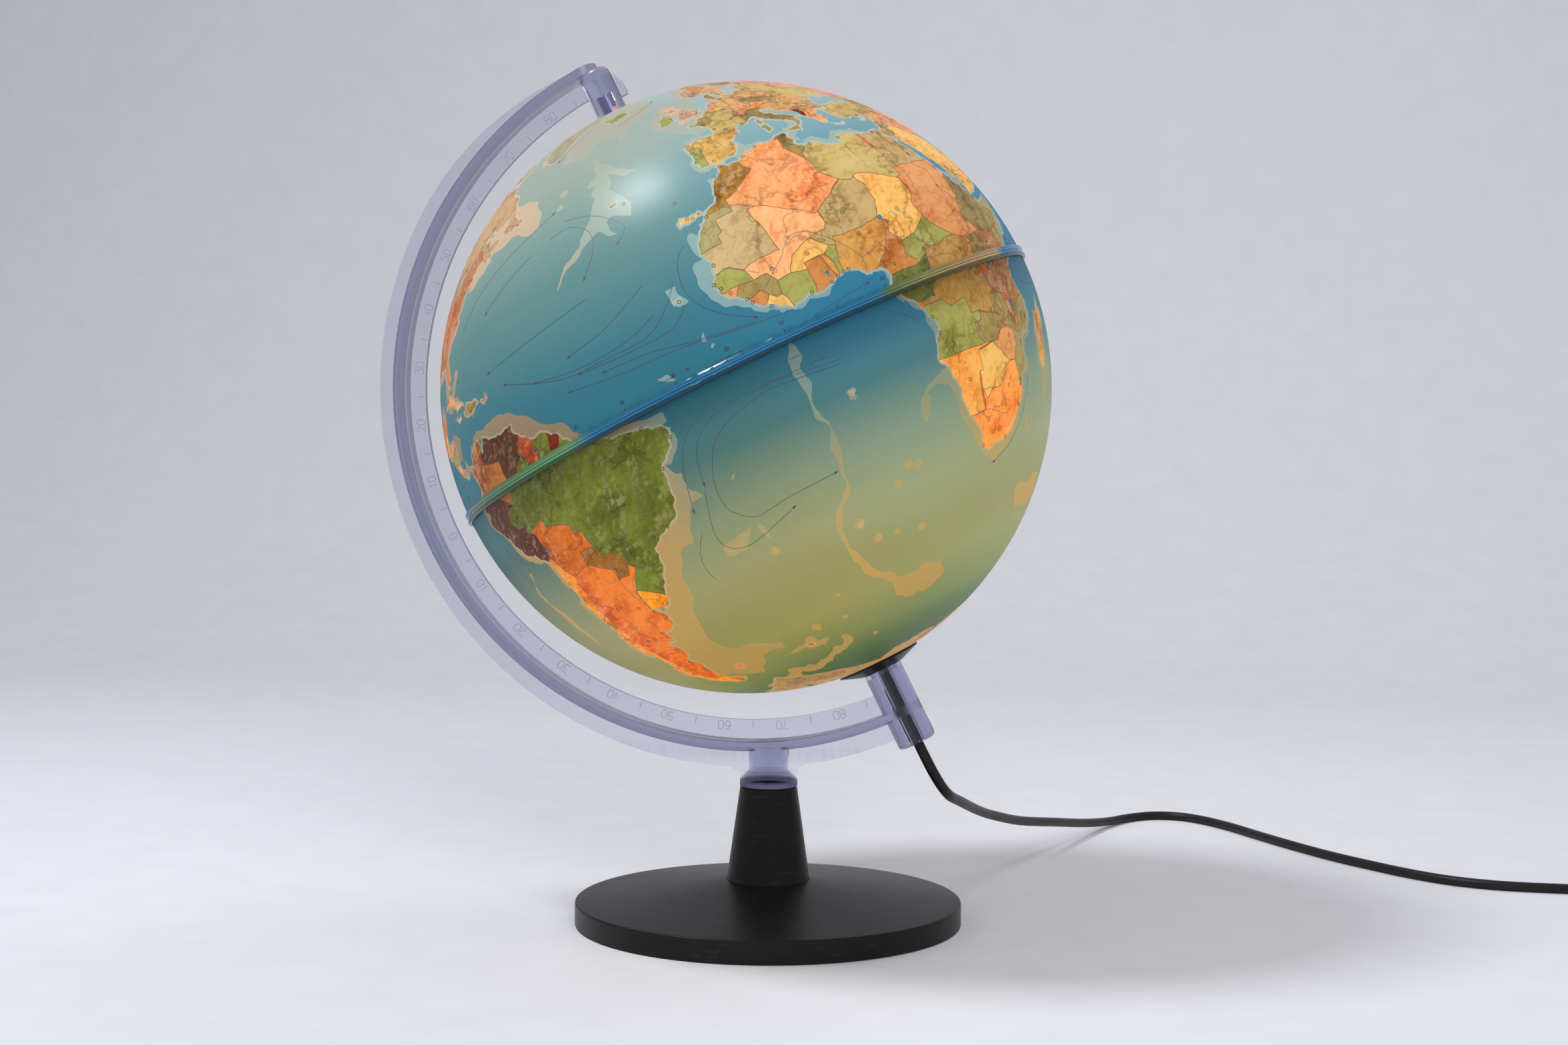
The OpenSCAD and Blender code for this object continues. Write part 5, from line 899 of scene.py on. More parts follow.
# one longitude and latitude pair for each city
CITIES = """-7.6 33.6 -5.8 35.8 -6.8 34 -8 31.6 -9.6 30.4 3 36.8 -.6 35.7 10.2 36.8 13.2 32.9 20.1 32.1
    31.2 30.1 29.9 31.2 32.9 24.1 -13.2 27.2 -16 18.1 -17.4 14.7 -16.6 13.5 -15.6 11.9 -13.7 9.5
    -13.2 8.5 -10.8 6.3 -4 5.3 -.2 5.6 1.2 6.1 2.4 6.4 3.4 6.5 7.4 9.1 8.5 12 -8 12.6 -3 16.8 -1.5 12.4
    2.1 13.5 8 17 15 12.1 32.5 15.6 37.2 19.6 38.7 9 38.9 15.3 43.1 11.6 45.3 2 36.8 -1.3 39.7 -4
    32.6 .3 30.1 -1.9 39.3 -6.8 25.2 .5 15.3 -4.3 15.3 -4.2 9.5 .4 9.7 4.1 11.5 3.9 18.6 4.4 27.5 -11.7
    13.2 -8.8 13.5 -12.4 28.3 -15.4 33.8 -14 31 -17.8 25.9 -24.7 17.1 -22.6 32.6 -26 34.9 -19.8
    39.3 -15.1 47.5 -18.9 28 -26.2 31 -29.9 18.4 -33.9 25.6 -34 26.2 -29.1 -66.9 10.5 -74.1 4.6
    -75.5 10.4 -76.5 3.4 -78.5 -.2 -79.9 -2.2 -58.2 6.8 -55.2 5.8 -52.3 4.9 -48.5 -1.5 -44.3 -2.5
    -38.5 -3.7 -35.2 -5.8 -34.9 -8 -38.5 -13 -60 -3.1 -43.9 -19.9 -47.9 -15.8 -43.2 -22.9 -46.6 -23.5
    -49.3 -25.4 -51.2 -30 -56.2 -34.9 -58.4 -34.6 -57.6 -25.3 -64.2 -31.4 -60.7 -33 -62.3 -38.7
    -68 -38.9 -67.5 -45.9 -70.9 -53.1 -70.7 -33.4 -73 -36.8 -71.6 -33 -70.4 -23.6 -68.1 -16.5
    -63.2 -17.8 -77 -12 -79 -8.1 -71.5 -16.4 -8.4 43.4 -3.7 40.4 2.2 41.4 -6 37.4 -9.1 38.7 -8.6 41.2
    -.4 39.5 -1.6 47.2 -.6 44.8 1.4 43.6 5.4 43.3 4.8 45.8 2.3 48.9 -.1 51.5 -3 53.4 -6.3 53.3 -4.2 55.9
    4.4 50.8 4.9 52.4 10 53.5 13.4 52.5 11.6 48.1 16.4 48.2 12.5 41.9 9.2 45.5 14.3 40.8 14.4 50.1
    21 52.2 19 47.5 20.5 44.8 26.1 44.4 23.3 42.7 23.7 38 29 41 32.9 39.9 10.7 59.9 18.1 59.3 25 60.2
    12.6 55.7 30.3 59.9 37.6 55.8 30.5 50.4 35.2 31.8 36.3 33.5 44.4 33.3 39.2 21.5 46.7 24.7 44.2 15.4
    51.4 35.7 -16.3 28.5 -15.4 28.1 -25.7 37.7 -16.9 32.7 -23.5 14.9 -82.4 23.1 -69.9 18.5 -66.1 18.4
    -74 40.7 -80.2 25.8 -52.7 47.6 -63.6 44.6 -71 42.4 -73.6 45.5 -61.5 10.7 77.2 28.6 72.8 19 88.4 22.6
    80.3 13.1 116.4 39.9 121.5 31.2 139.7 35.7 103.8 1.4 100.5 13.8 151.2 -33.9 145 -37.8 115.9 -32
    -99.1 19.4 -118.2 34 -122.4 37.8 -87.6 41.9 -95.4 29.8 -90 30"""

# ocean currents; each ends in an arrow
CURRENTS = [
    "-28 21 -32 19 -37 17 -44 16", "-38 24 -49 23 -63 22", "-28 15 -34 13 -43 13 -52 15",
    "-23 19 -25 16 -30 12 -38 12 -47 13 -59 18", "-23 14 -26 11 -35 11 -43 12",
    "-14 5 -24 7 -31 9 -39 10", "-32 3 -27 3", "-19 24 -21 22 -22 17 -21 13 -18 9 -14 6",
    "-39 41 -33 39 -29 36 -27 33 -29 31", "-43 39 -38 39 -34 36 -34 32 -37 28",
    "-8 4 -16 5 -26 7 -36 8 -46 10", "-72 33 -66 37 -58 40 -50 42 -42 44", "-48 38 -55 36 -62 33",
    "-6 1 0 2 5 2.5", "-30 1 -22 1.5 -14 1",
    "-7.2 -7.3 -18.8 -7.3 -23.3 -7.1 -28.7 -8.9 -31.4 -11.7 -32.7 -14.6 -33.7 -18.9",
    """-5.7 -9.9 -17 -8.5 -21.8 -9.3 -26.6 -11.1 -29.4 -13.7 -31.1 -17 -32.2 -20.1 -32.6 -23 -32.1 -25.6
    -29.4 -28 -26.8 -28.2 -22.8 -27.7 -13.5 -27.4""",
    """-34.1 -20.2 -35.4 -23.6 -36.6 -26.9 -36.9 -29.3 -35.9 -30.9 -33.9 -31.8 -31.1 -31.8 -26.4 -30.7
    -22.5 -29.6""",
    "-10 -4.6 -17.8 -4.5 -22.4 -4.5 -27.5 -5.8 -31.2 -8 -33.7 -11 -35.3 -14.5 -37.1 -20.6 -37.6 -22.4",
    "36 -26 33 -31 28 -35 22 -37", "60 -10 52 -9 44 -8", "60 -42 72 -43 84 -44",
    "-86 -30 -83 -20 -82 -12", "-95 -2 -105 -3 -116 -3", "-120 15 -132 14 -144 14",
    "150 38 162 40 174 42", "-172 42 -160 43 -148 44", "92 -12 80 -12 70 -11", "-20 60 -12 62 -4 65",
    "-30 66 -36 63 -42 59",
]
# finer currents, without an arrow
DRIFTS = [
    "-38.6 -26.6 -41.2 -29.4 -42.3 -32.4 -42 -34.6", ".1 -.6 3.4 -1.9 7 -4.8 10.2 -8.4",
    "-18 -6.7 -12.2 -8.1 -5.2 -9",
]

# strokes of the figures
DIGITS = {
    "0": "0 1 0 4 .8 5 2.2 5 3 4 3 1 2.2 0 .8 0 0 1", "1": ".6 4 1.8 5 1.8 0",
    "2": "0 4 .8 5 2.2 5 3 4 3 3.2 0 0 3 0", "3": "0 5 3 5 1.4 3 2.4 3 3 2.2 3 .9 2.2 0 .8 0 0 .8",
    "4": "2.3 0 2.3 5 0 1.6 3 1.6", "5": "3 5 .4 5 0 2.8 2 3 3 2.2 3 .9 2.2 0 .8 0 0 .7",
    "6": "2.8 5 1 4.6 0 2.6 0 .9 .8 0 2.2 0 3 .9 3 2 2.2 2.9 .8 2.9 0 2", "7": "0 5 3 5 1.2 0",
    "8": """.8 2.7 0 3.5 0 4.3 .8 5 2.2 5 3 4.3 3 3.5 2.2 2.7
    .8 2.7 0 1.8 0 .8 .8 0 2.2 0 3 .8 3 1.8 2.2 2.7""",
    "9": "3 3 2.2 2.1 .8 2.1 0 3 0 4.1 .8 5 2.2 5 3 4.1 3 2.4 2 .4 .2 0",
}


# distances from the pole on a half's flat sheet, in degrees: the mould's seam, and where outlines are cut
SEAM = 90
REACH = 104
# how far the sides of each kind of outline bend, as a share of their length
BENDS = {"land": 0.17, "country": 0.07, "lake": 0.12, "shallow": 0.14, "bank": 0.3}
# points of the sheet between the outlines, in degrees: how far apart, from the rims and from a coast
GRID_STEP = 1.9
ROW_STEP = GRID_STEP * 0.866
RIM_GAP = 0.6
COAST_GAP = 0.8
SEAM_SIDES = 240
MOUTH_SIDES = 48
# drawn lines keep clear of the pole and of the seam, in degrees on the sheet
INK_FROM = 7
INK_TO = SEAM - 1.2
CITY_TO = SEAM - 1.5
CITY_R = 0.75 * MM
# strokes along a chain of mountains stand this far apart, in degrees
HILL_STEP = 0.5
HILL_SEED = 11
# half an arrow's width as a share of its length
ARROW_SLIMNESS = 0.32
# the field that each figure is drawn on
DIGIT_WIDE = 3
DIGIT_TALL = 5
# what a face lies on
ON_SEA = 0
ON_SHALLOW = 1
ON_LAND = 2
NOBODY = -1


def pairs(text):
    """Rows of two numbers."""
    return np.array(text.split(), float).reshape(-1, 2)


def on_sheet(half, places):
    """Longitude and latitude as flat polar map points: the pole is at 0 and the mould's seam is 90 out."""
    _, pull, pull_again, around_pull, lean = [math.radians(v) for v in MAP_FIT[half]]
    side = 1 if half == "north" else -1
    lon, lat = np.radians(places).T
    from_middle = lon - math.radians(MIDDLE_LON)
    height = np.abs(lat)
    height = height - pull * np.sin(2 * height) - pull_again * np.sin(4 * height)
    height = np.sign(lat) * height + lean * np.sin(from_middle) * np.cos(lat)
    out = SEAM - side * np.degrees(height)
    around = lon + around_pull * np.sin(from_middle)
    return np.stack([out * np.cos(around), out * np.sin(around)], 1)


def on_mould(half, flat, radius=GLOBE_R):
    """Flat polar map points drawn over the mould."""
    flat = np.asarray(flat, float)
    side = 1 if half == "north" else -1
    out = np.radians(np.hypot(flat[:, 0], flat[:, 1]))
    around = np.arctan2(flat[:, 1], flat[:, 0]) + math.radians(MAP_FIT[half][0])
    x = np.sin(out) * np.cos(around)
    y = np.sin(out) * np.sin(around)
    z = side * np.cos(out)
    c = math.cos(TILT)
    s = math.sin(TILT)
    return np.stack([c * x - s * z, y, s * x + c * z], 1) * radius + np.array(GLOBE_MIDDLE)


def inside(outline, spots):
    """Which spots lie inside a closed outline."""
    hits = np.zeros(len(spots), bool)
    low = outline.min(0)
    high = outline.max(0)
    near = np.all((spots >= low) & (spots <= high), 1)
    x, y = spots[near].T
    odd = np.zeros(near.sum(), bool)
    for (ax, ay), (bx, by) in zip(outline, np.roll(outline, -1, 0)):
        crosses = (ay > y) != (by > y)
        if ay != by:
            odd ^= crosses & (x < (bx - ax) * (y - ay) / (by - ay) + ax)
    hits[near] = odd
    return hits


def chance_at(spot):
    """A number from -1 to 1 that depends on the place alone."""
    return math.sin(spot[0] * 127.1 + spot[1] * 311.7) * 43758.5 % 1 * 2 - 1


def roughen(line, share, shortest=0.9):
    """A closed outline with smaller and smaller bends.

    A side that two outlines share bends the same in both.
    """
    for _ in range(3):
        out = []
        for a, b in zip(line, np.roll(line, -1, 0)):
            out.append(a)
            if np.hypot(*(b - a)) > shortest:
                first, second = sorted((tuple(a), tuple(b)))
                across = np.array([first[1] - second[1], second[0] - first[0]])
                middle = (a + b) / 2
                out.append(middle + across * share * chance_at(middle))
        line = np.array(out)
    return line


def rounded(line):
    """A closed outline with its corners cut twice."""
    for _ in range(2):
        ahead = np.roll(line, -1, 0)
        line = np.stack([line * 0.75 + ahead * 0.25, line * 0.25 + ahead * 0.75], 1).reshape(-1, 2)
    return line


def thicken(line, step):
    """Extra points along a line, about a step apart."""
    out = []
    for a, b in zip(line[:-1], line[1:]):
        count = max(1, int(np.linalg.norm(b - a) / step))
        out += [a + (b - a) * k / count for k in range(count)]
    return np.array(out + [line[-1]])


def nearness(spots, targets):
    """Distance in metres from each spot to the nearest target."""
    tree = KDTree(len(targets))
    for i, target in enumerate(targets):
        tree.insert(target, i)
    tree.balance()
    return np.array([tree.find(spot)[2] for spot in spots])


def circle(radius, count):
    """Corners of a flat ring round 0."""
    turns = np.arange(count) * 2 * math.pi / count
    return np.stack([radius * np.cos(turns), radius * np.sin(turns)], 1)


def map_outlines(half):
    """Every outline that reaches this half, flat, with its kind and its ink."""
    kept = []
    for kind, table in (("land", LAND), ("country", COUNTRIES)):
        kept += [(kind, ink_name, roughen(pairs(text), BENDS[kind])) for ink_name, text in table.values()]
    kept += [("lake", None, roughen(pairs(text), BENDS["lake"])) for text in LAKES]
    kept += [("shallow", None, rounded(roughen(pairs(text), BENDS["shallow"], 1.6))) for text in SHALLOWS]
    for lon, lat, size in BANKS:
        ring = circle(size, 10) / (math.cos(math.radians(lat)), 1) + (lon, lat)
        kept.append(("shallow", None, roughen(ring, BENDS["bank"], 0.2)))
    flat = [(kind, ink_name, on_sheet(half, places)) for kind, ink_name, places in kept]
    return [item for item in flat if np.hypot(*item[2].T).min() < REACH]


def cut_map(outlines, mouth):
    """Triangles of one half, with every outline along their edges. mouth is the hole's reach in degrees."""
    points = []
    edges = []

    def add_line(line, closed):
        first = len(points)
        points.extend(map(tuple, line))
        count = len(line)
        for i in range(count if closed else count - 1):
            edges.append((first + i, first + (i + 1) % count))

    def add_loose(spots):
        points.extend(tuple(spot) for spot in spots if mouth + RIM_GAP < math.hypot(*spot) < SEAM - RIM_GAP)

    for kind, _, outline in outlines:
        if kind == "land":
            ahead = np.roll(outline, -1, 0) - outline
            away = np.stack([ahead[:, 1], -ahead[:, 0]], 1) / np.maximum(np.hypot(*ahead.T), 0.01)[:, None]
            middle = outline + ahead / 2
            add_loose(np.vstack([middle + away * COAST_GAP, middle - away * COAST_GAP]))
        near = np.hypot(*outline.T) < REACH
        keep = near | np.roll(near, 1) | np.roll(near, -1)
        if keep.all():
            add_line(outline, True)
            continue
        start = int(np.argmin(keep))
        run = []
        for i in range(len(outline) + 1):
            at = (start + i) % len(outline)
            if keep[at] and i < len(outline):
                run.append(outline[at])
            elif run:
                add_line(run, False)
                run = []
    add_line(circle(SEAM, SEAM_SIDES), True)
    add_line(circle(mouth, MOUTH_SIDES), True)
    for i, y in enumerate(np.arange(-SEAM, SEAM, ROW_STEP)):
        add_loose([(x, y) for x in np.arange(-SEAM + GRID_STEP / 2 * (i % 2), SEAM, GRID_STEP)])
    cut = delaunay_2d_cdt([Vector(p) for p in points], edges, [], 0, 1e-4)
    flat = np.array([tuple(p) for p in cut[0]])
    faces = np.array([f for f in cut[2] if len(f) == 3])
    middles = flat[faces].mean(1)
    out = np.hypot(*middles.T)
    return flat, faces[(out < SEAM) & (out > mouth)]


def sort_faces(outlines, middles):
    """What each face lies on, its ink, and which outline laid it."""
    ground = np.full(len(middles), float(ON_SEA))
    inks = np.zeros((len(middles), 3))
    laid_by = np.full(len(middles), NOBODY)
    for i, (kind, ink_name, outline) in enumerate(outlines):
        hit = inside(outline, middles)
        if kind == "land":
            ground[hit] = ON_LAND
        elif kind == "country":
            hit &= ground == ON_LAND
        elif kind == "lake":
            ground[hit] = ON_SEA
            laid_by[hit] = NOBODY
            continue
        else:
            ground[hit & (ground == ON_SEA) & (laid_by == NOBODY)] = ON_SHALLOW
            continue
        inks[hit] = colour(INKS[ink_name])
        laid_by[hit] = i
    return ground, inks, laid_by


def borders(faces, ground, laid_by):
    """Edges between two countries."""
    owner = {}
    found = []
    for face, kind, who in zip(faces, ground, laid_by):
        if kind != ON_LAND:
            continue
        for a, b in ((face[0], face[1]), (face[1], face[2]), (face[2], face[0])):
            other = owner.pop((b, a), None)
            if other is None:
                owner[(a, b)] = who
            elif other != who:
                found.append((a, b))
    return found


def ribbons(lines, facing, width, lift, arrows=0.0):
    """Flat strips of ink along lines on a surface.

    facing gives the surface's outward direction, arrows the length of the tips at the lines' ends.
    """
    points = []
    faces = []

    def add_face(corners):
        faces.append(tuple(range(len(points), len(points) + len(corners))))
        points.extend(corners)

    for line in lines:
        spots = [Vector(p) for p in line]
        rights = []
        for i, spot in enumerate(spots):
            ahead = spots[min(i + 1, len(spots) - 1)] - spots[max(i - 1, 0)]
            rights.append(ahead.cross(facing(spot)).normalized() * width / 2)
        raised = [spot + facing(spot) * lift for spot in spots]
        for i in range(len(spots) - 1):
            add_face([raised[i] + rights[i], raised[i + 1] + rights[i + 1],
                      raised[i + 1] - rights[i + 1], raised[i] - rights[i]])
        if arrows:
            ahead = (spots[-1] - spots[-2]).normalized() * arrows
            side = rights[-1].normalized() * arrows * ARROW_SLIMNESS
            add_face([raised[-1] + side, raised[-1] + ahead, raised[-1] - side])
    return points, faces


def off_globe(spot):
    """The globe's outward direction at a place."""
    return (spot - GLOBE_MIDDLE).normalized()


def smooth_line(text, step=1.5):
    """A smooth line through the given longitudes and latitudes."""
    knots = pairs(text)
    out = []
    for i in range(len(knots) - 1):
        count = max(2, int(np.linalg.norm(knots[i + 1] - knots[i]) / step))
        out += [spot_between(knots, i, k / count) for k in range(count)]
    return np.array(out + [knots[-1]])


def on_half(half, places):
    """The stretches of a drawn line that lie on this half's sheet."""
    runs = [[]]
    for spot in on_sheet(half, places):
        if INK_FROM < np.hypot(*spot) < INK_TO:
            runs[-1].append(spot)
        else:
            runs.append([])
    return [on_mould(half, run) for run in runs if len(run) > 1]


def digit_lines(text, middle, along, up, height):
    """Strokes of a number on a flat or nearly flat place."""
    size = height / DIGIT_TALL
    pitch = DIGIT_WIDE + 1
    start = -(len(text) * pitch - 1) / 2
    lines = []
    for i, figure in enumerate(text):
        stroke = pairs(DIGITS[figure]) + (start + pitch * i, -DIGIT_TALL / 2)
        lines.append([middle + along * x * size + up * y * size for x, y in stroke])
    return lines


# ---------- looks of the printed globe ----------
# the printed relief: its noise, and how far apart the two heights lie that give its slope to the light
RELIEF = {"scale": 78, "detail": 3.4, "rough": 0.55}
TO_THE_LIGHT = WEST_SIDE * 0.0009 + NORTH * 0.001


def pole_to_pole(north):
    """0 at the south pole, 1 at the north pole."""
    return north * 0.5 + 0.5


def latitude_ramp(north, *stops):
    """A colour by how far north on the mould: stops are degrees and a colour code."""
    spots = [((math.sin(math.radians(lat)) + 1) / 2, colour(code)) for lat, code in stops]
    return pole_to_pole(north).ramp(*spots)


def water_colour(look, north, ground):
    """Sea and shelves by latitude, partly painted lamp light, with a sandy rim along every coast."""
    # the sea's and the shelves' colours by latitude are partly painted lamp light: yellower and brighter
    # towards the south, where the bulb sits
    sea = latitude_ramp(
        north, (-90, "4c5c44"), (-73, "4c6248"), (-66, "5c7450"), (-60, "808a5a"), (-50, "9d9a62"),
        (-42, "9c9761"), (-32, "9e9d70"), (-22, "849071"), (-12, "4b736e"), (0, "2e6e80"), (10, "3b7381"),
        (20, "527f83"), (28, "608684"), (38, "7a9791"), (50, "98a89c"), (60, "9baba2"), (72, "a4b0a4"),
        (90, "acb2a2"))
    shelf = latitude_ramp(
        north, (-90, "b88a54"), (-60, "b59860"), (-45, "c4a260"), (-30, "b4a26e"), (-18, "8f9476"),
        (-8, "7a9088"), (8, "7fa0a2"), (25, "8aa59e"), (45, "a2ab9e"), (70, "aeaa9a"))
    lamp_warmed_shelf = latitude_ramp(
        north, (-60, "b59860"), (-40, "bfa062"), (-18, "b89560"), (5, "8c7a5e"), (20, "a28e72"),
        (46, "cbb296"), (80, "d0c0a8"))
    # painted lamp light: the shelves are warmer on the west side, where only the lamp lights them
    west = look.along(WEST_SIDE, GLOBE_MIDDLE) / GLOBE_R
    shelf = look.mix(west.step(0.03, 0.33), shelf, lamp_warmed_shelf)
    # painted daylight and painted shade: bluer on the east side, darker low on the west side
    sea = look.mix((0 - west).step(0.0, 0.5), sea, look.mix(1, sea, (1.0, 1.12, 1.36), "MULTIPLY"))
    sea = look.scale(sea, 1 - 0.28 * west.step(0.55, 0.95) * (0 - north).step(0.05, 0.25))
    wander = look.noise(60, 4)
    shore = look.painted("shore")
    shelf_reach = 0.0004 + 0.0034 * wander.step(0.42, 0.66)
    by_coast = 1 - (shore - shelf_reach).step(0, 0.0003)
    shallow = ground.math("MAXIMUM", ground.step(ON_SHALLOW - 0.6, ON_SHALLOW - 0.4), by_coast)
    rim = 1 - (shore - 0.0006 - 0.0007 * wander).step(0, 0.0002)
    sand = look.mix(0.30, shelf, (0.62, 0.56, 0.44))
    return look.mix(rim, look.mix(shallow, sea, shelf), sand)


def land_colour(look):
    """The country's ink under a printed relief, strongest along the chains of mountains."""
    ink = look.painted("ink", "Color")
    hills = look.painted("hills")
    deep = look.mix(0.8, ink, ink, "MULTIPLY")
    pale = look.mix(0.30, ink, (1.0, 0.80, 0.55))
    shadow = look.mix(0.5, deep, (0.16, 0.07, 0.03))
    slope = (look.noise(**RELIEF, vector=look.shifted(TO_THE_LIGHT)) - look.noise(**RELIEF)) * 12
    rough_land = look.noise(38, 3, 0.5).step(0.38, 0.62)
    depth = (0.52 + 0.48 * hills) * (0.45 + 0.55 * rough_land)
    land = look.mix(hills * 0.55 + 0.30 * rough_land, ink, deep)
    land = look.mix((0 - slope).step(0.05, 0.75) * depth * 0.85, land, shadow)
    land = look.mix(slope.step(0.05, 0.75) * depth * 0.55, land, pale)
    # thin dark furrows where a noise passes its middle
    furrow = look.noise(60, 3, 0.55) - 0.5
    gully = 1 - furrow.math("ABSOLUTE", furrow).step(0.004, 0.032)
    return look.mix(gully * 0.65 * (0.35 + 0.65 * rough_land), land, look.scale(land, 0.42))


def printed_plastic():
    """Printed plastic, part room light on its ink and part lamp light from behind it."""
    look = Shader("printed_globe_plastic")
    north = look.along(NORTH, GLOBE_MIDDLE) / GLOBE_R
    ground = look.painted("ground")
    on_land = ground.step(ON_LAND - 0.6, ON_LAND - 0.4)
    tint = look.mix(on_land, water_colour(look, north, ground), land_colour(look))
    tint = look.mix(0.10, tint, look.noise(1400, 2), "OVERLAY")
    # the lip inside the seam keeps some of the lamp's light off the sea beside it
    off_seam = north * (GLOBE_R / MM)
    shade = 0.30 * off_seam.step(-24, -7) + 0.26 * off_seam.step(-8, -2)
    tint = look.scale(tint, 1 - shade * (1 - off_seam.step(-1.5, 0.5)))
    lamp_share = pole_to_pole(north).ramp(
        (0.0, grey(0.85)), (0.15, grey(0.60)), (0.30, grey(0.56)), (0.50, grey(0.36)), (0.70, grey(0.36)),
        (0.93, grey(0.84)), (1.0, grey(0.80)))
    lamp_tint = pole_to_pole(north).ramp(
        (0.0, (1.0, 0.92, 0.62)), (0.3, (1.0, 1.0, 0.9)), (0.6, (1.0, 1.0, 1.0)))
    land_glow = 1 + 0.28 * on_land * (1 - pole_to_pole(north).step(0.2, 0.55))
    return look.set(
        Base_Color=look.scale(tint, (1 - lamp_share) * 1.05),
        Emission_Color=look.mix(1, look.scale(tint, lamp_share * land_glow), lamp_tint, "MULTIPLY"),
        Emission_Strength=1.0,
        Roughness=0.26 + 0.07 * look.noise(25, 3) + 0.25 * look.grazing() ** 3,
        Specular_IOR_Level=0.12,
        Normal=look.bump(look.noise(70, 2), 0.03, 0.0008),
    )


def bare_white_plastic():
    look = Shader("bare_white_plastic")
    return look.set(
        Base_Color=look.mix(look.noise(60, 3), (0.78, 0.74, 0.66), (0.84, 0.80, 0.72)),
        Roughness=0.5,
        # painted lamp light: the bare inside and the rims glow warm as if lit by the bulb
        Emission_Color=(1.0, 0.72, 0.38),
        Emission_Strength=0.8,
    )


def line_ink(name, dark, light):
    look = Shader(name)
    return look.set(
        Base_Color=look.mix(look.noise(300, 3), dark, light),
        Roughness=0.45,
    )


sheet_ink = printed_plastic()
lamp_lit_white = bare_white_plastic()
border_ink = line_ink("border_ink", (0.20, 0.07, 0.03), (0.28, 0.10, 0.045))
hill_ink = line_ink("hill_ink", (0.24, 0.12, 0.05), (0.32, 0.16, 0.07))
river_ink = line_ink("river_ink", (0.06, 0.09, 0.10), (0.09, 0.13, 0.14))
black_ink = line_ink("black_ink", (0.025, 0.02, 0.02), (0.05, 0.04, 0.04))
current_ink = line_ink("current_ink", (0.05, 0.04, 0.07), (0.09, 0.06, 0.11))


def rim_edges(faces):
    """Edges that belong to one face only, in that face's direction."""
    seen = {}
    for a, b, c in faces:
        for edge in ((a, b), (b, c), (c, a)):
            if seen.pop((edge[1], edge[0]), None) is None:
                seen[edge] = True
    return list(seen)


def mountain_shares(half, spots):
    """How near each spot is to a chain of mountains: 1 on a crest, falling to 0."""
    shares = np.zeros(len(spots))
    for reach, crest in MOUNTAINS:
        ridge = on_sheet(half, thicken(pairs(crest), 0.7))
        if np.hypot(*ridge.T).min() < REACH:
            far = nearness(spots, on_mould(half, ridge)) / (math.radians(reach) * GLOBE_R)
            shares = np.maximum(shares, np.exp(-far ** 2))
    return shares


def carry(mesh, name, kind, where, field, values):
    """Stores values under a name for the shaders, per corner or per point."""
    mesh.attributes.new(name, kind, where).data.foreach_set(field, np.ravel(values))


def make_half(half, mouth, node_name):
    """One half of the globe as printed: outer skin, bare inside and rims. Returns its borders."""
    outlines = map_outlines(half)
    flat, faces = cut_map(outlines, mouth)
    used = np.unique(faces)
    order = np.zeros(len(flat), int)
    order[used] = np.arange(len(used))
    flat = flat[used]
    faces = order[faces]
    ground, inks, laid_by = sort_faces(outlines, flat[faces].mean(1))
    outer = on_mould(half, flat)
    coast = [thicken(np.vstack([line, line[:1]]), 0.6) for kind, _, line in outlines if kind == "land"]
    shore = nearness(outer, on_mould(half, np.vstack(coast)))
    hills = mountain_shares(half, outer)
    edges = borders(faces.tolist(), ground, laid_by)
    if half == "south":
        faces = faces[:, ::-1]
    inner = on_mould(half, flat, GLOBE_R - SHELL)
    count = len(outer)
    skin = faces.tolist()
    lining = [(c + count, b + count, a + count) for a, b, c in skin]
    rims = [(b, a, a + count, b + count) for a, b in rim_edges(skin)]
    all_faces = skin + lining + rims
    points = np.vstack([outer, inner])
    piece = mesh_object(half + "_map", points, all_faces, "globe", sheet_ink)
    mesh = piece.data
    mesh.materials.append(lamp_lit_white)
    number = np.arange(len(all_faces))
    mesh.polygons.foreach_set("material_index", (number >= len(skin)).astype(int))
    mesh.polygons.foreach_set("use_smooth", number < 2 * len(skin))
    corners = sum(len(face) for face in all_faces)
    printed = 3 * len(skin)
    ink_at = np.ones((corners, 4))
    ink_at[:printed, :3] = np.repeat(inks, 3, 0)
    ground_at = np.zeros(corners)
    ground_at[:printed] = np.repeat(ground, 3)
    carry(mesh, "ink", "FLOAT_COLOR", "CORNER", "color", ink_at)
    carry(mesh, "ground", "FLOAT", "CORNER", "value", ground_at)
    carry(mesh, "shore", "FLOAT", "POINT", "value", np.tile(shore, 2))
    carry(mesh, "hills", "FLOAT", "POINT", "value", np.tile(hills, 2))
    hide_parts(node_name)
    return [(outer[a], outer[b]) for a, b in edges]


def circle_on_globe(middle, radius, count=10):
    out = off_globe(middle)
    right = out.cross(NORTH).normalized()
    up = right.cross(out)
    turns = [2 * math.pi * k / count for k in range(count + 1)]
    return [middle + right * radius * math.cos(t) + up * radius * math.sin(t) for t in turns]


def city_rings(half):
    """A small ring at every city that lies clear of the seam."""
    flat = on_sheet(half, pairs(CITIES))
    flat = flat[np.hypot(*flat.T) < CITY_TO]
    return [circle_on_globe(Vector(spot), CITY_R) for spot in on_mould(half, flat)]


def hill_strokes(half):
    """Short strokes down both sides of each chain of mountains, each with a chance start and length."""
    chance = np.random.default_rng(HILL_SEED)
    lines = []
    for reach, crest in MOUNTAINS:
        line = smooth_line(crest, HILL_STEP)
        for here, ahead in zip(line[:-1], line[1:]):
            across = np.array([here[1] - ahead[1], ahead[0] - here[0]])
            across /= max(np.hypot(*across), 0.01)
            for side in (-1, 1):
                down = across * side * reach
                start = here + down * chance.uniform(0.05, 0.7) + chance.uniform(-0.3, 0.3, 2)
                end = start + down * chance.uniform(0.2, 0.45) + chance.uniform(-0.25, 0.25, 2)
                lines += on_half(half, np.array([start, end]))
    return lines


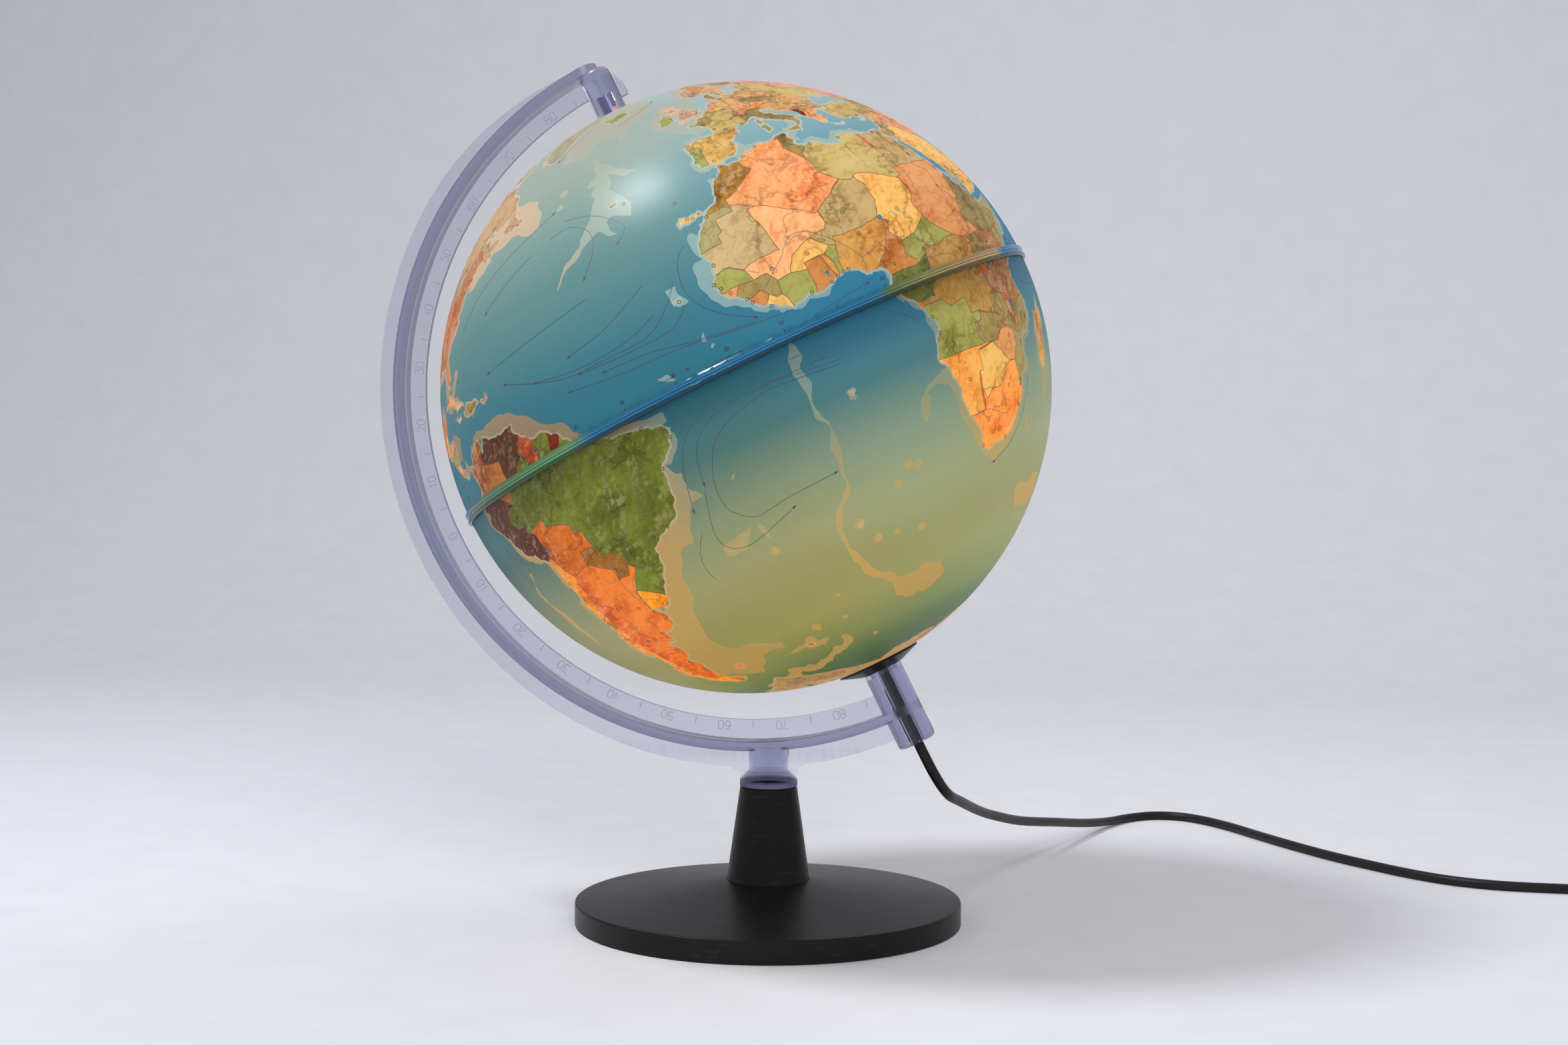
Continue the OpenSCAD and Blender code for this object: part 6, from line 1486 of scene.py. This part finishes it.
def seam_numbers():
    """Degrees of longitude beside the seam, with a tick at each."""
    lines = []
    for lon in range(-180, 180, 10):
        around = math.radians(lon)
        outward = np.array([math.cos(around), math.sin(around)])
        lines.append(on_mould("north", [outward * (SEAM - 1.6), outward * (SEAM - 1.1)]))
        middle = Vector(on_mould("north", [outward * (SEAM - 2.6)])[0])
        right = NORTH.cross(off_globe(middle)).normalized()
        if lon:
            lines += digit_lines(str(abs(lon)), middle, right, NORTH, 1.5 * MM)
    return lines


def draw_lines(half, border_lines):
    """All the fine lines of one half in one piece."""
    def drawn(texts):
        return [run for text in texts for run in on_half(half, smooth_line(text))]

    signs = city_rings(half) + (seam_numbers() if half == "north" else [])
    # ink, lines, width, height above the globe and length of the arrows, in millimetres
    sets = [
        (border_ink, border_lines, 0.30, 0.06, 0),
        (hill_ink, hill_strokes(half), 0.17, 0.055, 0),
        (river_ink, drawn(RIVERS), 0.20, 0.05, 0),
        (current_ink, drawn(CURRENTS), 0.24, 0.05, 2.2),
        (current_ink, drawn(DRIFTS), 0.20, 0.05, 0),
        (black_ink, signs, 0.28, 0.08, 0),
    ]
    points = []
    faces = []
    fills = []
    for i, (ink, lines, width, lift, arrows) in enumerate(sets):
        more_points, more_faces = ribbons(lines, off_globe, width * MM, lift * MM, arrows * MM)
        faces += [tuple(corner + len(points) for corner in face) for face in more_faces]
        points += more_points
        fills += [i] * len(more_faces)
    piece = mesh_object(half + "_ink_lines", points, faces, "globe", border_ink)
    for ink, *_ in sets[1:]:
        piece.data.materials.append(ink)
    piece.data.polygons.foreach_set("material_index", fills)


north_borders = make_half("north", math.degrees(PIN_HOLE_R / GLOBE_R), "north_hemisphere")
south_borders = make_half("south", math.degrees(math.asin(SOUTH_HOLE_R / GLOBE_R)), "south_hemisphere")
draw_lines("north", north_borders)
draw_lines("south", south_borders)


# ---------- looks of the other pieces ----------
def moulded_black(name, shine, grain_size=1700, tone=1.0):
    """Black plastic with a fine spark-eroded grain and a little wear."""
    look = Shader(name)
    grain = look.noise(grain_size, 3, 0.6)
    patch = look.noise(22, 4, 0.6)
    scuff = look.noise(1, 2, 0.5, look.stretched(90, 90, 420)).step(0.60, 0.74)
    base = look.mix(patch, grey(0.007 * tone), grey(0.012 * tone))
    return look.set(
        Base_Color=look.mix(scuff * 0.25, base, grey(0.035 * tone)),
        Roughness=shine + 0.10 * patch + 0.06 * grain,
        Specular_IOR_Level=0.15,
        Normal=look.bump(grain, 0.22, 0.00015),
    )


def clear_lilac():
    """Clear plastic with a lilac cast that deepens with its thickness."""
    look = Shader("clear_lilac_plastic")
    flow = look.noise(14, 3, 0.5)
    fine = look.noise(220, 3, 0.6)
    # the collar is seen straight through, so that the black neck under it doesn't fill it
    height = look.along((0, 0, 1), (0, 0, 0))
    collar = height.band(0.0676, 0.0690, 0.0785, 0.0840)
    # painted reflections: vertical streaks along the stem
    drawn = look.noise(1, 3, 0.5, look.stretched(420, 420, 9)).step(0.35, 0.65)
    on_stem = 1 - height.step(0.086, 0.090)
    settings = {"operation": "DISTANCE"}
    out = look.add("ShaderNodeVectorMath", settings, look.place(), tuple(GLOBE_MIDDLE), out="Value")
    flange = out.band(0.1730, 0.1750, 0.1785, 0.1800)
    tint = look.mix(fine, (0.86, 0.86, 0.92), (0.90, 0.90, 0.95))
    look.set(
        Base_Color=look.mix(0.30 * drawn * on_stem, tint, (0.60, 0.61, 0.74)),
        Transmission_Weight=1.0,
        IOR=1.49,
        Roughness=0.06 + 0.05 * fine * flow + 0.26 * flange,
        Alpha=1 - 0.80 * collar,
        Normal=look.bump(flow, 0.05, 0.002),
    )
    # the collar's foot turns dark and matt
    foot = look.tree.nodes.new("ShaderNodeBsdfDiffuse")
    foot.inputs["Color"].default_value = (0.17, 0.18, 0.30, 1)
    blend = look.tree.nodes.new("ShaderNodeMixShader")
    look.put(blend.inputs[0], 0.72 * height.band(0.0678, 0.0684, 0.0700, 0.0722))
    look.tree.links.new(look.gloss.outputs[0], blend.inputs[1])
    look.tree.links.new(foot.outputs[0], blend.inputs[2])
    look.tree.links.new(blend.outputs[0], look.output.inputs[0])
    depth = look.tree.nodes.new("ShaderNodeVolumeAbsorption")
    depth.inputs["Color"].default_value = (0.36, 0.385, 0.62, 1)
    depth.inputs["Density"].default_value = 74
    look.tree.links.new(depth.outputs[0], look.output.inputs["Volume"])
    return look.material


SEA_TINT = "1f6488"
# the seam ring's colour round the equator: longitude and colour code
RING_TINTS = [
    (-205, SEA_TINT), (-93, SEA_TINT), (-88, "33503c"), (-80, "3f6b4a"), (-66, "4c7a4c"), (-52, "5b8a5a"),
    (-47, SEA_TINT), (8, SEA_TINT), (10.5, "51663f"), (20, "7c7a4c"), (30, "9a7c4c"), (41, "a18a5c"),
    (44, SEA_TINT), (98, SEA_TINT), (101, "8c9a5a"), (118, "8c9a5a"), (121, SEA_TINT),
]
RING_MIDDLE_LON = -25
RING_TALL = 6 * MM


def seam_ring():
    """Tinted plastic that takes its colour from the map beside it, with painted shade, painted highlights
    and a painted lamp glow.
    """
    look = Shader("seam_ring_plastic")
    middle = Vector(on_mould("north", on_sheet("north", np.array([[RING_MIDDLE_LON, 0.0]])))[0])
    ahead = (middle - GLOBE_MIDDLE).normalized()
    side = NORTH.cross(ahead)
    turn = look.add("ShaderNodeMath", {"operation": "ARCTAN2"}, look.along(side, GLOBE_MIDDLE),
                    look.along(ahead, GLOBE_MIDDLE)) / (2 * math.pi) + 0.5
    tint = turn.ramp(*[((lon - RING_MIDDLE_LON) / 360 + 0.5, colour(code)) for lon, code in RING_TINTS])
    # painted shade on the dark outer edges, and painted highlights: two bright lines where the beads catch
    # the light
    across = look.along(NORTH, GLOBE_MIDDLE) / RING_TALL + 0.5
    lines = across.ramp(
        (0.0, grey(0.15)), (0.28, grey(0.15)), (0.38, grey(0.30)), (0.43, grey(1.0)), (0.46, grey(1.0)),
        (0.50, grey(0.30)), (0.56, grey(0.28)), (0.61, grey(0.90)), (0.64, grey(0.85)), (0.70, grey(0.50)),
        (0.86, grey(0.42)), (1.0, grey(0.38)))
    wear = look.noise(180, 4, 0.6)
    shade = look.mix(1, tint, lines, "MULTIPLY")
    shade = look.mix(0.20 * wear, shade, grey(0.02))
    return look.set(
        Base_Color=look.scale(shade, 1.35),
        Roughness=0.12 + 0.10 * wear,
        Specular_IOR_Level=0.35,
        # painted lamp light: the ring glows with its own colour
        Emission_Color=look.scale(shade, 0.75),
        Emission_Strength=1.0,
    )


def pole_plastic():
    """Orange where it meets the lit globe, with a painted lamp glow and a painted glint there; clear lilac
    further out.
    """
    look = Shader("lamp_lit_pole_plastic")
    cloud = look.noise(130, 3, 0.6)
    # millimetres along the axis from the globe's middle
    out = look.along(NORTH, GLOBE_MIDDLE) / MM
    far = out.step(151.3, 152.6)
    glint = out.band(151.3, 152.6, 153.5, 155) * look.along(WEST_SIDE, GLOBE_MIDDLE).step(-0.0006, -0.0022)
    near_tint = look.mix(cloud, (0.62, 0.36, 0.20), (0.72, 0.44, 0.26))
    far_tint = look.mix(cloud, (0.20, 0.21, 0.36), (0.26, 0.27, 0.44))
    glow = look.mix(far, (0.36, 0.15, 0.06), (0.03, 0.03, 0.06))
    return look.set(
        Base_Color=look.mix(far, near_tint, far_tint),
        Roughness=0.20 + 0.12 * cloud,
        Emission_Color=look.mix(glint, glow, (0.9, 0.36, 0.20)),
        Emission_Strength=1.0,
    )


def frosted_bulb_glass():
    look = Shader("frosted_bulb_glass")
    cloud = look.noise(130, 3, 0.6)
    return look.set(
        Base_Color=look.mix(cloud, (0.88, 0.86, 0.80), (0.95, 0.93, 0.88)),
        Roughness=0.35 + 0.12 * cloud,
        Emission_Color=look.mix(cloud, (1.0, 0.72, 0.38), (0.75, 0.54, 0.285)),
        Emission_Strength=2.5,
    )


def metal(name, dark, light, rough, lines):
    """Metal with fine lines. lines is how stretched they are along x, y and z."""
    look = Shader(name)
    brushed = look.noise(1, 3, 0.6, look.stretched(*lines))
    patch = look.noise(120, 3, 0.6)
    return look.set(
        Base_Color=look.mix(patch, dark, light),
        Metallic=1.0,
        Roughness=rough + 0.16 * brushed,
        Normal=look.bump(brushed, 0.12, 0.0001),
    )


def speckled(name, dark, light, rough, size, depth):
    """A grainy surface. size is how fine the grain is, depth its height in metres."""
    look = Shader(name)
    grain = look.noise(size, 4, 0.65)
    return look.set(
        Base_Color=look.mix(grain.step(0.35, 0.65), dark, light),
        Roughness=rough + 0.12 * grain,
        Normal=look.bump(grain, 0.35, depth),
    )


base_black = moulded_black("base_black_plastic", 0.30)
dish_black = moulded_black("dish_black_plastic", 0.24, 900)
switch_black = moulded_black("switch_black_plastic", 0.28, 1500, 1.3)
rocker_black = moulded_black("rocker_black_plastic", 0.20, 2200, 1.6)
plug_rubber = moulded_black("plug_rubber", 0.42, 1200, 1.4)
zinc = metal("zinc_plated_steel", (0.50, 0.50, 0.49), (0.66, 0.66, 0.68), 0.28, (500, 500, 90))
pressed_steel = metal("pressed_steel", (0.22, 0.22, 0.22), (0.34, 0.33, 0.32), 0.42, (300, 30, 300))
brass = metal("nickelled_brass", (0.62, 0.55, 0.42), (0.74, 0.68, 0.55), 0.20, (60, 60, 900))
nickel = metal("nickel_pins", (0.62, 0.60, 0.56), (0.74, 0.72, 0.68), 0.16, (900, 90, 900))
foam = speckled("foam_rubber", grey(0.016), grey(0.040), 0.80, 900, 0.0006)
white_plastic = speckled("white_holder_plastic", grey(0.66), grey(0.72), 0.42, 700, 0.0001)
glazed = speckled("glazed_insert", (0.70, 0.66, 0.58), (0.78, 0.75, 0.68), 0.18, 300, 0.0001)
finish_nodes(base_black, "base_shell", "neck_cone")
finish_nodes(dish_black, "south_dish")
finish_nodes(switch_black, "switch_base", "switch_cover")
finish_nodes(rocker_black, "switch_rocker")
finish_nodes(plug_rubber, "plug_body")
finish_nodes(cord_rubber(), "inner_lead")
finish_nodes(clear_lilac(), "meridian_arm", "lamp_carrier")
finish_nodes(zinc, "ballast_screws", "stem_bolt", "switch_screws")
finish_nodes(pressed_steel, "ballast_plate")
finish_nodes(brass, "bulb_cap", "switch_contacts")
finish_nodes(nickel, "plug_pins")
finish_nodes(foam, "base_pad")
finish_nodes(white_plastic, "lamp_holder")
finish_nodes(glazed, "holder_insert")
finish_nodes(frosted_bulb_glass(), "bulb_glass")
finish_nodes(pole_plastic(), "north_pin", "north_clip")
finish_nodes(seam_ring(), "equator_ring")


# ---------- degree scale on the arm ----------
# distances from the globe's middle, in metres
TICK_FROM = 0.1645
TICK_TO = 0.1680
DIGITS_AT = 0.1672


def marking_ink():
    look = Shader("scale_marking")
    return look.set(
        Base_Color=look.mix(look.noise(400, 3), (0.16, 0.17, 0.34), (0.22, 0.23, 0.42)),
        Roughness=0.4,
        Alpha=0.46,
    )


def mark_arm():
    """A tick every five degrees on the arm's web, and every ten the degrees as a number."""
    facing = Vector((0, -1, 0))
    spot = GLOBE_MIDDLE + facing * WEB_HALF
    lines = []
    for lat in range(-85, 90, 5):
        angle = math.radians(lat)
        out = WEST_SIDE * math.cos(angle) + NORTH * math.sin(angle)
        if lat % 10:
            lines.append([spot + out * TICK_FROM, spot + out * TICK_TO])
        else:
            lines += digit_lines(str(abs(lat)), spot + out * DIGITS_AT, out.cross(facing), out, 4.2 * MM)
    points, faces = ribbons(lines, lambda spot: facing, 0.42 * MM, 0.04 * MM)
    mesh_object("degree_scale", points, faces, "stand", marking_ink())


mark_arm()
